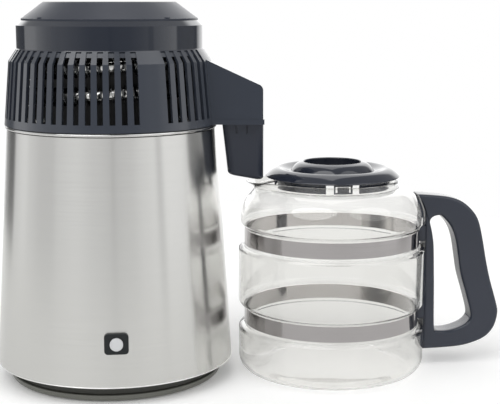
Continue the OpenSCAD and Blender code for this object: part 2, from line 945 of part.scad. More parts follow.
// Outer or inner outline of the head's drum, bevel and neck
function head_outline(t) = [
    [drum_r_low - t, 0],
    [drum_r_top - t, drum_h],
    [neck_r - t, neck_z],
    [neck_r - t, cap_z - neck_round],
    [neck_r - max(t, neck_round), cap_z]
];

// Radius of the bevel's outside at a height
function bevel_r(z) = drum_r_top - bevel_in * (z - drum_h) / bevel_h;

// Side outline of the arm, inset by a wall
function arm_outline(t) =
    let (
        roof_z = arm_low_z + arm_end_h,
        root_z = roof_z + (arm_end_r - arm_root_r) * tan(arm_slope) - t / cos(arm_slope),
        end_z = roof_z - t / cos(arm_slope) + t * tan(arm_slope)
    )
    rounded(
        [[arm_root_r, arm_low_z + t], [arm_end_r - t, arm_low_z + t], [arm_end_r - t, end_z], [arm_root_r, root_z]],
        [0.5, 1, arm_corner_r - t, 0.5]
    );

// Block across the arm with a side outline
module across_arm(outline, w) {
    rotate([90, 0, 0])
        translate([0, 0, -w / 2])
            linear_extrude(w)
                polygon(outline);
}

// Footprint of the nozzle in the arm's floor, grown or shrunk
module nozzle_plan(more, z0, z1) {
    translate([nozzle_mid_r, 0, z0])
        linear_extrude(z1 - z0)
            polygon(rounded_box(nozzle_l + 2 * more, nozzle_w + 2 * more, nozzle_corner_r + more));
}

// Slots through the drum and half the bevel, with a shallow flute on from each
module head_slots() {
    cutter = [
        [neck_in_r - head_t, sill_h],
        [drum_r_low + head_t, sill_h],
        [drum_r_low + head_t, flute_top_z],
        [bevel_r(flute_top_z) - flute_d, flute_top_z],
        [bevel_r(slot_top_z) - flute_d, slot_top_z],
        [neck_in_r - head_t, slot_top_z]
    ];
    step = 360 / slot_count;
    clear = asin((arm_w / 2 + slot_w) / drum_r_top);
    for (i = [0:slot_count - 1])
        let (
            a = (i + 0.5) * step,
            off_arm = min(a, 360 - a),
            plain = off_arm < clear || abs(off_arm - panel_at) < step * 1.1
        )
        if (!plain)
            rotate(a)
                across_arm(cutter, slot_w);
}

module head_housing() {
    color(charcoal)
    on_head() {
        difference() {
            union() {
                rotate_extrude()
                    polygon(concat(head_outline(0), [[0, cap_z], [0, 0]]));
                across_arm(arm_outline(0), arm_w);
                translate([arm_root_r, -arm_w / 2 - arm_rim_side, arm_low_z])
                    cube([arm_end_r + arm_rim - arm_root_r, arm_w + 2 * arm_rim_side, arm_rim_h]);
            }
            translate([0, 0, -cut])
                cylinder(h = 2 * cut, r = drum_r_low - head_t);
            rotate_extrude()
                polygon(concat(head_outline(head_t), [[neck_r - neck_round, cap_z + cut], [0, cap_z + cut], [0, 0]]));
            across_arm(arm_outline(head_t), arm_w - 2 * head_t);
            nozzle_plan(fit_gap - spigot_in, -cut, arm_low_z + 2 * head_t);
            head_slots();
            rotate(panel_at)
                translate([neck_in_r, 0, gland_z])
                    rotate([0, 90, 0])
                        cylinder(h = drum_r_low, r = gland_r + slip_gap);
        }
        difference() {
            rotate_extrude()
                polygon([
                    [ring_in_r, ring_low_z],
                    [drum_r_low - head_t / 2, ring_low_z],
                    [drum_r_low - head_t / 2, ring_low_z + ring_t],
                    [ring_in_r, ring_low_z + ring_t]
                ]);
            around(dome_screw_count, dome_screw_ring_r, 30)
                translate([0, 0, -cut])
                    cylinder(h = ring_low_z + ring_t + 2 * cut, r = dome_screw_r + slip_gap);
        }
        difference() {
            translate([0, 0, ledge_z])
                rotate_extrude()
                    polygon([
                        [boss_ring_r - boss_r, 0],
                        [neck_r - head_t / 2, 0],
                        [neck_r - head_t / 2, ledge_t],
                        [boss_ring_r - boss_r, ledge_t]
                    ]);
            around(boss_count, boss_ring_r, 45)
                translate([0, 0, ledge_z - cut])
                    cylinder(h = ledge_t + 2 * cut, r = cap_screw_r + slip_gap);
        }
        difference() {
            around(bracket_arms, bracket_screw_ring_r, 60)
                translate([-pad_l / 2, -bracket_arm_w / 2, bracket_z - pad_t])
                    cube([pad_l, bracket_arm_w, pad_t]);
            around(bracket_arms, bracket_screw_ring_r, 60)
                translate([0, 0, bracket_z - pad_t - cut])
                    cylinder(h = pad_t + 2 * cut, r = bracket_screw_r + slip_gap);
        }
    }
}

// Height of the dome plate's upper face at a radius
function dome_top(r) = dome_z + dome_t + dome_rise * (dome_rise_r - r) / (dome_rise_r - dome_flat_r);

// Turns and shifts a piece to the riser, beside the coil's upper end
module at_riser() {
    rotate(coil_start_deg)
        translate([riser_at, bend_r, 0])
            children();
}

module dome_plate() {
    flat_z = dome_z + dome_rise;
    color(steel)
    on_head()
    difference() {
        rotate_extrude()
            polygon([
                [0, flat_z],
                [dome_flat_r, flat_z],
                [dome_rise_r, dome_z],
                [dome_flange_r, dome_z],
                [dome_flange_r, dome_z + dome_t],
                [dome_rise_r, dome_z + dome_t],
                [dome_flat_r, flat_z + dome_t],
                [0, flat_z + dome_t]
            ]);
        at_riser()
            translate([0, 0, -cut])
                cylinder(h = dome_rise + 4 * cut, r = tube_r + fit_gap);
        around(dome_screw_count, dome_screw_ring_r, 30)
            translate([0, 0, -cut])
                cylinder(h = dome_rise + 2 * cut, r = dome_screw_r + slip_gap);
    }
}

module head_seal() {
    seal_low_z = pot_flange_top_z + seat_gap;
    color("#d9d6cf")
    translate([0, 0, seal_low_z])
        rotate_extrude()
            translate([seal_in_r, 0])
                square([seal_w, head_z + dome_z - seal_low_z]);
}

module dome_screws() {
    color(dull_steel)
    on_head()
    around(dome_screw_count, dome_screw_ring_r, 30)
        translate([0, 0, dome_z])
            screw_up(dome_screw_r, dome_t + ring_t + 1);
}

module steam_riser() {
    foot_z = dome_top(norm([riser_at, bend_r]) - riser_r - riser_foot) + slip_gap;
    top_z = coil_top_z + riser_r;
    color(dull_steel)
    on_head()
    at_riser()
        difference() {
            union() {
                translate([0, 0, foot_z])
                    cylinder(h = top_z - foot_z, r = riser_r);
                translate([0, 0, foot_z])
                    cylinder(h = riser_foot, r = riser_r + riser_foot, $fn = 6);
                translate([0, 0, dome_z])
                    cylinder(h = foot_z - dome_z + cut, r = tube_r);
            }
            translate([0, 0, dome_z - cut])
                cylinder(h = coil_top_z - dome_z + tube_r, r = tube_r - riser_wall);
            translate([0, 0, coil_top_z])
                rotate([0, 90, 0])
                    cylinder(h = 2 * riser_r, r = tube_r + fit_gap);
        }
}

// Point on the coil after a turn that runs from 0 at its top to 1 at its end
function coil_at(t) =
    let (a = coil_start_deg + (coil_end_deg - coil_start_deg) * t)
    [coil_r * cos(a), coil_r * sin(a), coil_top_z + (coil_low_z - coil_top_z) * t];

// Point given by a direction, a distance along it and a shift to its left
function polar_at(a, along, left, z) = [along * cos(a) - left * sin(a), along * sin(a) + left * cos(a), z];

// The tube's route: out of the riser, down the coil, out along the arm and down
coil_path =
    let (n = ceil(loop_rings * coil_turns), far = coil_r + bend_r + tube_run)
    concat(
        [
            polar_at(coil_start_deg, coil_r - bend_r - stub_l, bend_r, coil_top_z),
            polar_at(coil_start_deg, coil_r - bend_r - stub_l / 2, bend_r, coil_top_z)
        ],
        [
            for (i = [0:bend_rings - 1])
                let (a = 90 - 90 * i / bend_rings)
                polar_at(coil_start_deg, coil_r - bend_r + bend_r * cos(a), bend_r * sin(a), coil_top_z)
        ],
        [for (i = [0:n]) coil_at(i / n)],
        [
            for (i = [1:bend_rings])
                let (a = 180 + 90 * i / bend_rings)
                polar_at(coil_end_deg, coil_r + bend_r + bend_r * cos(a), bend_r * sin(a), coil_low_z)
        ],
        [
            for (i = [0:bend_rings])
                let (a = 90 - 90 * i / bend_rings)
                polar_at(coil_end_deg, far + down_bend_r * cos(a), -bend_r, coil_low_z - down_bend_r * (1 - sin(a)))
        ],
        [polar_at(coil_end_deg, far + down_bend_r, -bend_r, coil_low_z - down_bend_r - stub_l)]
    );

module condenser_coil() {
    echo(condenser_coil_gap = least_gap(coil_path, ceil(loop_rings / 2)) - 2 * tube_r);
    color(dull_steel)
    on_head()
        tube(coil_path, tube_r, tube_sides, [0, 0, 1]);
}

// Spiral fin: a thin ribbon on edge that winds round the coil's tube
module coil_fins() {
    rings = fin_curls * curl_rings;
    margin = 0.006;
    points = [
        for (i = [0:rings])
            let (
                t = margin + (1 - 2 * margin) * i / rings,
                c = coil_at(t),
                along = unit(coil_at(t + 0.001) - coil_at(t - 0.001)),
                out = squared([c.x, c.y, 0], along),
                up = cross(along, out),
                a = 360 * i / curl_rings,
                d = cos(a) * out + sin(a) * up
            )
            each [
                c + fin_in_r * d - fin_t / 2 * along,
                c + fin_in_r * d + fin_t / 2 * along,
                c + fin_r * d + fin_t / 2 * along,
                c + fin_r * d - fin_t / 2 * along
            ]
    ];
    edge = [for (i = [0:rings]) points[4 * i + 3]];
    echo(coil_fins_gap = least_gap(edge, curl_rings - 1) - fin_t);
    color("#d5d7d8")
    on_head()
        polyhedron(points, skin_faces(rings + 1, 4));
}

// Black sleeve on the dome plate that keeps the fan's air on the coil, with two
// combs that carry the coil's turns
module air_baffle() {
    low_z = dome_top(baffle_r - baffle_t) + seat_gap;
    comb_low_z = ring_low_z + ring_t + comb_gap;
    color(black_plastic)
    on_head()
        difference() {
            union() {
                translate([0, 0, low_z])
                    cylinder(h = slot_top_z - low_z, r = baffle_r);
                for (a = comb_at)
                    rotate(a)
                        translate([0, -baffle_t / 2, comb_low_z])
                            cube([comb_out_r, baffle_t, slot_top_z - comb_low_z]);
            }
            translate([0, 0, low_z - cut])
                cylinder(h = slot_top_z - low_z + 2 * cut, r = baffle_r - baffle_t);
            for (a = comb_at, turn = [0, 1])
                rotate(a)
                    across_arm(comb_notch(coil_low_z + coil_pitch * ((a - coil_end_deg) / 360 + turn)), 3 * baffle_t);
            rotate(coil_start_deg)
                translate([baffle_r / 2, bend_r - tube_r - 2 * baffle_gap, coil_top_z - tube_r - baffle_gap])
                    cube([baffle_r, 2 * tube_r + 3 * baffle_gap, slot_top_z]);
        }
}

// Notch for one turn of the coil, open outwards
function comb_notch(z) = concat(
    [for (a = [90:15:270]) [coil_r + (fin_r + comb_gap) * cos(a), z + (fin_r + comb_gap) * sin(a)]],
    [[comb_out_r + cut, z - fin_r - comb_gap], [comb_out_r + cut, z + fin_r + comb_gap]]
);

module motor_bracket() {
    arm_l = sqrt(pow(neck_in_r - fit_gap, 2) - pow(bracket_arm_w / 2, 2));
    color(dull_steel)
    on_head()
    translate([0, 0, bracket_z])
        difference() {
            linear_extrude(bracket_t)
                union() {
                    circle(r = motor_r);
                    for (i = [0:bracket_arms - 1])
                        rotate(60 + 360 * i / bracket_arms)
                            translate([0, -bracket_arm_w / 2])
                                square([arm_l, bracket_arm_w]);
                }
            translate([0, 0, -cut])
                cylinder(h = bracket_t + 2 * cut, r = shaft_r + 2);
            around(bracket_arms, bracket_screw_ring_r, 60)
                translate([0, 0, -cut])
                    cylinder(h = bracket_t + 2 * cut, r = bracket_screw_r + slip_gap);
        }
}

module bracket_screws() {
    color(dull_steel)
    on_head()
    around(bracket_arms, bracket_screw_ring_r, 60)
        translate([0, 0, bracket_z + bracket_t])
            mirror([0, 0, 1])
                screw_up(bracket_screw_r, bracket_t + pad_t);
}

module fan_motor() {
    color("#8b8e92")
    on_head()
    translate([0, 0, motor_top_z - motor_h])
        difference() {
            union() {
                cylinder(h = motor_h, r = motor_r - 3);
                translate([0, 0, motor_h * 0.3])
                    cylinder(h = motor_h * 0.4, r = motor_r);
            }
            translate([0, 0, motor_h / 2])
                cylinder(h = motor_h, r = shaft_r + shaft_gap);
        }
}

module fan_shaft() {
    low_z = motor_top_z - motor_h / 2 + slip_gap;
    color(dull_steel)
    on_head()
    translate([0, 0, low_z])
        cylinder(h = fan_low_z + fan_h - 2 - low_z, r = shaft_r);
}

module fan_rotor() {
    chord = fan_h / sin(blade_tilt) * 0.85;
    color(black_plastic)
    on_head()
    translate([0, 0, fan_low_z])
        difference() {
            union() {
                cylinder(h = fan_h, r = fan_hub_r);
                around(fan_blades, 0)
                    translate([0, 0, fan_h / 2])
                        rotate([blade_tilt, 0, 0])
                            translate([fan_hub_r - 2, -chord / 2, -blade_t / 2])
                                cube([fan_r - chord * chord / 8 / fan_r - fan_hub_r + 2, chord, blade_t]);
            }
            translate([0, 0, -cut])
                cylinder(h = fan_h - 2 + cut, r = shaft_r);
        }
}

module fan_cap() {
    top_z = cap_z + cap_h;
    low_r = neck_r - neck_round - 0.4;
    ring_out_r = neck_r - neck_round - fit_gap;
    ring_w = 1.8;
    sleeve_r = inlet_r + cap_sleeve_t;
    seat_z = top_z - grille_drop - grille_t;
    color(charcoal)
    on_head() {
        rotate_extrude()
            polygon([
                [low_r, cap_z + slip_gap],
                [low_r, cap_z + 1.6],
                [sleeve_r + 1, top_z - 1],
                [sleeve_r - 0.6, top_z],
                [inlet_r + 0.6, top_z],
                [inlet_r, top_z - 0.8],
                [inlet_r, seat_z],
                [inlet_r - 4, seat_z],
                [inlet_r - 4, seat_z - 2],
                [sleeve_r, seat_z - 2],
                [sleeve_r, top_z - 4.2],
                [low_r - 3.4, cap_z + slip_gap + 2.4],
                [low_r - 3.4, cap_z + slip_gap]
            ]);
        difference() {
            union() {
                rotate_extrude()
                    polygon([
                        [ring_out_r - ring_w, cap_z - 5],
                        [ring_out_r, cap_z - 5],
                        [ring_out_r, cap_z + 1.8],
                        [ring_out_r - ring_w, cap_z + 2]
                    ]);
                around(boss_count, boss_ring_r, 45)
                    translate([0, 0, ledge_z + ledge_t + slip_gap])
                        cylinder(h = cap_z + 3 - ledge_z - ledge_t, r = boss_r);
            }
            around(boss_count, boss_ring_r, 45)
                translate([0, 0, ledge_z])
                    cylinder(h = 10, r = cap_screw_r + slip_gap);
        }
    }
}

module cap_screws() {
    color(dull_steel)
    on_head()
    around(boss_count, boss_ring_r, 45)
        translate([0, 0, ledge_z])
            screw_up(cap_screw_r, ledge_t + 5);
}

module fan_grille() {
    rim_r = inlet_r - fit_gap;
    step = (rim_r - grille_bar - grille_hub_r) / (grille_rings + 1);
    color(black_plastic)
    on_head()
    translate([0, 0, cap_z + cap_h - grille_drop - grille_t])
        linear_extrude(grille_t)
            union() {
                circle(r = grille_hub_r);
                for (i = [1:grille_rings])
                    difference() {
                        circle(r = grille_hub_r + i * step + grille_bar / 2);
                        circle(r = grille_hub_r + i * step - grille_bar / 2);
                    }
                difference() {
                    circle(r = rim_r);
                    circle(r = rim_r - 2 * grille_bar);
                }
                for (i = [0:grille_spokes - 1])
                    rotate(360 * i / grille_spokes)
                        translate([grille_hub_r - 1, -grille_bar / 2])
                            square([rim_r - grille_hub_r - grille_bar + 1, grille_bar]);
            }
}

// Grommet in the rear panel of the drum, where the fan's lead goes in
module lead_gland() {
    wall_r = drum_r_low - drum_taper * gland_z / drum_h;
    color(rubber)
    on_head()
    rotate(panel_at)
        translate([0, 0, gland_z])
            rotate([0, 90, 0])
                difference() {
                    union() {
                        translate([0, 0, wall_r - head_t - 2])
                            cylinder(h = head_t + 6, r = gland_r);
                        translate([0, 0, wall_r + fit_gap + 0.4])
                            cylinder(h = 2.4, r = gland_r + 2.4);
                    }
                    translate([0, 0, wall_r - head_t - 2 - cut])
                        cylinder(h = head_t + 8 + cut, r = gland_r - 1.6);
                }
}

// Slab of the nozzle's plan, at a level, tilted about its inner edge by a share of the floor's fall
module nozzle_slab(in_r, out_r, w, r, z, tilt) {
    translate([in_r, 0, z])
        rotate([0, tilt, 0])
            translate([(out_r - in_r) / 2, 0, 0])
                linear_extrude(0.1)
                    polygon(rounded_box(out_r - in_r, w, r));
}

// The nozzle's body inset by a wall, up to a level
module nozzle_body(t, top_z) {
    low_in_r = nozzle_in_r + nozzle_lean + t;
    low_w = nozzle_w - nozzle_taper - 2 * t;
    low_z = nozzle_low_z + nozzle_fall + t;
    share = (nozzle_top_z - top_z) / (nozzle_top_z - low_z);
    round_r = max(nozzle_corner_r - t, 2);
    edge = max(nozzle_edge_r - t, 1);
    hull() {
        nozzle_slab(nozzle_in_r + nozzle_lean * share + t, nozzle_out_r - t, nozzle_w - nozzle_taper * share - 2 * t,
            round_r, top_z - 0.1, 0);
        nozzle_slab(low_in_r, nozzle_out_r - t, low_w, round_r, low_z + edge, nozzle_tilt);
        nozzle_slab(low_in_r + 0.3 * edge, nozzle_out_r - t - 0.3 * edge, low_w - 0.6 * edge, round_r,
            low_z + 0.3 * edge, nozzle_tilt);
        nozzle_slab(low_in_r + edge, nozzle_out_r - t - edge, low_w - 2 * edge, round_r, low_z, nozzle_tilt);
    }
}

// Upright hole over the lip of the carafe
module drip_hole(r) {
    translate([drip_at_r, 0, nozzle_low_z - nozzle_fall])
        cylinder(h = 6 * nozzle_fall, r = r);
}

module nozzle_cup() {
    color(charcoal)
    on_head()
    difference() {
        union() {
            nozzle_body(0, nozzle_top_z);
            nozzle_plan(-spigot_in, nozzle_top_z - 1, nozzle_top_z + spigot_h);
        }
        nozzle_body(nozzle_t, nozzle_top_z - 1);
        nozzle_plan(-spigot_in - nozzle_t, nozzle_top_z - 4, nozzle_top_z + spigot_h + cut);
        drip_hole(drip_r);
        for (side = [-1, 1], way = [-1, 1])
            translate([
                nozzle_mid_r + way * grip_slit_step / 2 - 0.5,
                side * nozzle_w / 2 - 1.2,
                nozzle_top_z - grip_slit_l - 2
            ])
                cube([1, 2.4, grip_slit_l]);
    }
}

module ceramic_insert() {
    gap = nozzle_t + fit_gap;
    color("#f3f1ea")
    on_head()
    difference() {
        nozzle_body(gap, nozzle_top_z - insert_drop);
        nozzle_body(gap + insert_t, nozzle_top_z - insert_drop + cut);
        drip_hole(drip_r - 0.6);
    }
}

module charcoal_pod() {
    color("#2a2a29")
    on_head()
        nozzle_body(nozzle_t + fit_gap + insert_t + pod_gap, nozzle_top_z - pod_drop);
}

// Outline of the glass from its floor's middle to its mouth, inset by a wall
function glass_outline(t, floor_z) = concat(
    [[0, floor_z]],
    arc([glass_r - glass_corner_r, glass_corner_r], glass_corner_r - t, -90, 0),
    [
        [glass_r - t, low_band_z - groove_slack - groove_flank],
        [band_seat_r - t, low_band_z - groove_slack],
        [band_seat_r - t, low_band_z + band_h + groove_slack],
        [glass_r - t, low_band_z + band_h + groove_slack + groove_flank],
        [glass_r - t, high_band_z - groove_slack - groove_flank],
        [band_seat_r - t, high_band_z - groove_slack],
        [band_seat_r - t, high_band_z + band_h + groove_slack],
        [shoulder_r - t, high_band_z + band_h + groove_slack + groove_flank]
    ],
    arc(
        [shoulder_r - shoulder_arc_r, shoulder_z],
        shoulder_arc_r - t,
        0,
        acos((mouth_r - t - shoulder_r + shoulder_arc_r) / (shoulder_arc_r - t))
    )
);

// Solid of the glass's outline up to a level above the mouth
module glass_solid(t, floor_z, more) {
    rotate_extrude()
        polygon(concat(
            glass_outline(t, floor_z),
            [[mouth_r - t, glass_h + more], [0, glass_h + more]]
        ));
}

module pouring_lip(t, more) {
    slope = (lip_top_r - lip_low_r) / lip_h;
    translate([lip_top_r - lip_reach, 0, glass_h - lip_h])
        cylinder(h = lip_h + more, r1 = lip_low_r - t, r2 = lip_top_r - t + slope * more);
}

module carafe_glass() {
    color("#d5dcd9", 0.4)
    at_carafe()
    difference() {
        union() {
            glass_solid(0, 0, 0);
            pouring_lip(0, 0);
        }
        glass_solid(glass_t, glass_t, cut);
        pouring_lip(lip_wall, cut);
    }
}

// Steel band with the threaded boss that takes the handle's screw
module steel_band(z) {
    color(steel)
    at_carafe()
    translate([0, 0, z]) {
        difference() {
            cylinder(h = band_h, r = band_seat_r + slip_gap + band_t);
            translate([0, 0, -cut])
                cylinder(h = band_h + 2 * cut, r = band_seat_r + slip_gap);
        }
        difference() {
            translate([band_seat_r + slip_gap + band_t / 2, 0, band_h / 2])
                rotate([0, 90, 0])
                    cylinder(h = post_in_r - band_seat_r - slip_gap - band_t / 2 - fit_gap, r = boss_band_r);
            translate([band_seat_r + 2, 0, band_h / 2])
                rotate([0, 90, 0])
                    cylinder(h = groove_d + cut, r = band_screw_r + slip_gap);
        }
    }
}

module lower_band() {
    steel_band(low_band_z);
}

module upper_band() {
    steel_band(high_band_z);
}

// Radius of the window's wall beside the post, at a height
function post_out_r(z) = window_post_low_r
    + (window_post_top_r - window_post_low_r) * (z - window_low_z) / (window_top_z - window_low_z);

// Radius of the flat spot under a band screw's head
function spot_r(z) = post_out_r(z + band_screw_head_r) - spot_d;

// Middle of each band, where its screw goes
band_screw_z = [low_band_z + band_h / 2, high_band_z + band_h / 2];

module carafe_handle() {
    outer = [
        [shoulder_pad_r, handle_low_z],
        [glass_r + grip_reach_low, handle_low_z],
        [glass_r + grip_reach_top, handle_top_z - 4],
        [shoulder_pad_r, handle_top_z]
    ];
    window = [
        [window_post_low_r, window_low_z],
        [glass_r + grip_reach_low - grip_w_low, window_low_z],
        [glass_r + grip_reach_top - grip_w_top, window_top_z],
        [window_post_top_r, window_top_z]
    ];
    color(charcoal)
    at_carafe()
    difference() {
        across_arm(rounded(outer, [0.5, 30, 36, 0.5]), handle_t);
        across_arm(rounded(window, [5, 13, 18, 6]), handle_t + 2 * cut);
        translate([0, 0, -cut])
            cylinder(h = shoulder_z + cut, r = post_in_r);
        translate([0, 0, shoulder_z - cut])
            rotate_extrude()
                polygon(concat(
                    [[0, 0], [post_in_r, 0], [post_in_r, cut]],
                    arc([post_in_r - shoulder_arc_r, cut], shoulder_arc_r, 0, 85),
                    [[0, shoulder_arc_r + cut]]
                ));
        for (z = band_screw_z) {
            translate([glass_r - cut, 0, z])
                rotate([0, 90, 0])
                    cylinder(h = window_post_low_r - glass_r + 2 * cut, r = band_screw_r + slip_gap);
            translate([spot_r(z), 0, z])
                rotate([0, 90, 0])
                    cylinder(h = 2 * band_screw_head_r, r = band_screw_head_r + fit_gap);
        }
    }
}

module band_screws() {
    color(dull_steel)
    at_carafe()
    for (z = band_screw_z)
        translate([spot_r(z), 0, z])
            rotate([0, -90, 0])
                screw_up(band_screw_r, spot_r(z) - band_seat_r - band_screw_short);
}

module carafe_lid() {
    color(charcoal)
    at_carafe()
    union() {
        rotate_extrude()
            polygon(concat(
                [
                    [vent_hole_r, dish_floor_z - lid_t],
                    [skirt_r - 6, dish_floor_z - lid_t],
                    [skirt_r - 2, lid_seat_z],
                    [lid_r - 1, lid_seat_z],
                    [lid_r, lid_seat_z + 1],
                    [lid_r, lid_seat_z + lid_edge_h - 1]
                ],
                [
                    for (i = [0:arc_n])
                        let (t = i / arc_n)
                        [
                            lid_r - 0.6 - (lid_r - lid_slope_r) * t,
                            lid_seat_z + lid_edge_h + (lid_slope_z - lid_seat_z - lid_edge_h) * sin(90 * t)
                                + lid_ring_h * sin(180 * pow(t, lid_ring_lean))
                        ]
                ],
                [
                    for (i = [1:arc_n])
                        let (t = i / arc_n)
                        [
                            knob_r + (lid_slope_r - 0.6 - knob_r) * (1 - t),
                            lid_slope_z + (lid_top_z - 0.8 - lid_slope_z) * (t + 0.17 * sin(180 * t))
                        ]
                ],
                [
                    [knob_r - 0.8, lid_top_z],
                    [dish_r + 0.4, lid_top_z],
                    [dish_r, lid_top_z - 0.6],
                    [dish_r, dish_floor_z],
                    [vent_hole_r, dish_floor_z]
                ]
            ));
        difference() {
            rotate_extrude()
                translate([skirt_r - skirt_t, lid_seat_z - skirt_h])
                    square([skirt_t, skirt_h + 2]);
            for (side = [-1, 1], way = [-1, 1])
                translate([
                    way * (tab_w + tab_slit) / 2 - tab_slit / 2,
                    side * skirt_r - 8,
                    lid_seat_z - skirt_h - cut
                ])
                    cube([tab_slit, 16, skirt_h + cut - fit_gap]);
        }
        for (side = [-1, 1])
            translate([-tab_w / 4, side * (skirt_r + tab_bump / 2 - 1) - tab_bump / 2, lid_seat_z - skirt_h])
                cube([tab_w / 2, tab_bump, 2]);
    }
}

// Plug in the dish, with small vents over the opening in the lid
module vent_plug() {
    vents = 6;
    color(black_plastic)
    at_carafe()
    translate([0, 0, dish_floor_z])
        difference() {
            union() {
                cylinder(h = plug_h, r1 = dish_r - fit_gap, r2 = dish_r - 1.6);
                translate([0, 0, -lid_t])
                    cylinder(h = lid_t + 0.1, r = vent_hole_r - fit_gap);
            }
            around(vents, vent_hole_r * 0.6)
                translate([0, 0, -lid_t - cut])
                    cylinder(h = lid_t + plug_h + 2 * cut, r = 1.8);
        }
}

base_pan();
rubber_feet();
tie_rods();
tie_nuts();
outer_shell();
boiler_pot();
heater_disc();
heating_element();
heater_clamp();
clamp_stud();
clamp_nut();
thermostat();
reset_bezel();
reset_switch();
reset_spring();
reset_button();
rear_panel();
power_inlet();
inlet_pins();
fan_outlet();
wiring();
head_housing();
dome_plate();
head_seal();
dome_screws();
steam_riser();
condenser_coil();
coil_fins();
air_baffle();
motor_bracket();
bracket_screws();
fan_motor();
fan_shaft();
fan_rotor();
fan_cap();
cap_screws();
fan_grille();
lead_gland();
nozzle_cup();
ceramic_insert();
charcoal_pod();
carafe_glass();
lower_band();
upper_band();
carafe_handle();
band_screws();
carafe_lid();
vent_plug();
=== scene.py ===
import math

import bmesh
import bpy
import numpy as np
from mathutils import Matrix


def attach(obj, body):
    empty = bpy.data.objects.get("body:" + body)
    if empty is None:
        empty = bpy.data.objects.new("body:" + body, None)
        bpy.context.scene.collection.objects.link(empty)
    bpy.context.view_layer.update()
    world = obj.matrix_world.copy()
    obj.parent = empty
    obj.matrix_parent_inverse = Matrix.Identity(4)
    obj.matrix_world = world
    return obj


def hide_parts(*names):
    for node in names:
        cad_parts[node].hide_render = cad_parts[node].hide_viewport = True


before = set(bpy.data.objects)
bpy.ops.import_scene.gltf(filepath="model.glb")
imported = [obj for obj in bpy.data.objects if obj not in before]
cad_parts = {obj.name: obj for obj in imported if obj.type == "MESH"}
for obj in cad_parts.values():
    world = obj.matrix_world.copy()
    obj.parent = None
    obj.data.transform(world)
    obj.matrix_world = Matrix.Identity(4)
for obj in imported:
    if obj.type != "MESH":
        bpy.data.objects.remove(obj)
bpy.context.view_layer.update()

# The viewpoint: a long lens a little above the boiler's head and just over a
# metre away, turned slightly towards the carafe.
camera = bpy.data.objects.new("camera", bpy.data.cameras.new("camera"))
camera.location = (0.0, -1.1455, 0.3615)
camera.rotation_euler = (math.radians(90 - 9.61), 0.0, math.radians(-6.69))
camera.data.lens = 84.91
camera.data.sensor_width = 36.0
camera.data.sensor_fit = "HORIZONTAL"
bpy.context.collection.objects.link(camera)
bpy.context.scene.camera = camera
bpy.context.scene.view_settings.view_transform = "Standard"


# The studio: a white table top in a white room. The room is plain white to the
# eye; mirrors see its walls, with the cards and gaps that stand round the table.
def add(tree, kind, **inputs):
    """Adds one shader node and sets the named sockets that are given."""
    item = tree.nodes.new(kind)
    for key, value in inputs.items():
        item.inputs[key.replace("_", " ")].default_value = value
    return item


def grade(tree, source, stops):
    """A colour ramp over a 0-to-1 value; each stop is a place and a grey or a colour."""
    ramp = tree.nodes.new("ShaderNodeValToRGB")
    ramp.color_ramp.interpolation = "EASE"
    while len(ramp.color_ramp.elements) < len(stops):
        ramp.color_ramp.elements.new(0.5)
    for element, (place, colour) in zip(ramp.color_ramp.elements, stops):
        rgb = colour if isinstance(colour, tuple) else (colour,) * 3
        element.position = place
        element.color = (*rgb, 1.0)
    tree.links.new(source, ramp.inputs["Fac"])
    return ramp.outputs["Color"]


def ranged(tree, source, low, high, to_low=0.0, to_high=1.0):
    """Maps a value evenly from one range to another and holds it at the ends."""
    item = add(tree, "ShaderNodeMapRange",
               From_Min=low, From_Max=high, To_Min=to_low, To_Max=to_high)
    tree.links.new(source, item.inputs["Value"])
    return item.outputs["Result"]


def reckon(tree, operation, *terms):
    """One step of arithmetic on the shader's values and plain numbers."""
    item = add(tree, "ShaderNodeMath")
    item.operation = operation
    for socket, term in zip(item.inputs, terms):
        if isinstance(term, bpy.types.NodeSocket):
            tree.links.new(term, socket)
        else:
            socket.default_value = term
    return item.outputs[0]


def axes(tree, where):
    """The X, Y and Z of a place or a direction."""
    item = add(tree, "ShaderNodeSeparateXYZ")
    tree.links.new(where, item.inputs[0])
    return item.outputs


room = bpy.data.worlds.new("white_room")
room.use_nodes = True
bpy.context.scene.world = room
room_tree = room.node_tree
room_tree.nodes.clear()
link = room_tree.links.new
ray = axes(room_tree, add(room_tree, "ShaderNodeTexCoord").outputs["Generated"])
bearing = reckon(room_tree, "ARCTAN2", ray["X"], reckon(room_tree, "MULTIPLY", ray["Y"], -1.0))
full_turn = ranged(room_tree, bearing, -math.pi, math.pi)


def round_the_room(stops):
    """A shade for each bearing in degrees from the camera's side, positive to the right."""
    return grade(room_tree, full_turn, [(0.5 + at / 360, shade) for at, shade in stops])


def by_height(low, high, below, above):
    """Passes from one shade to another as the ray's rise goes from low to high."""
    blend = add(room_tree, "ShaderNodeMixRGB")
    link(ranged(room_tree, ray["Z"], low, high), blend.inputs["Fac"])
    link(below, blend.inputs["Color1"])
    link(above, blend.inputs["Color2"])
    return blend.outputs["Color"]


def either(share, first, second):
    """Mixes two lights; the share is the second one's."""
    mix = add(room_tree, "ShaderNodeMixShader")
    link(share, mix.inputs[0])
    link(first.outputs[0], mix.inputs[1])
    link(second.outputs[0], mix.inputs[2])
    return mix


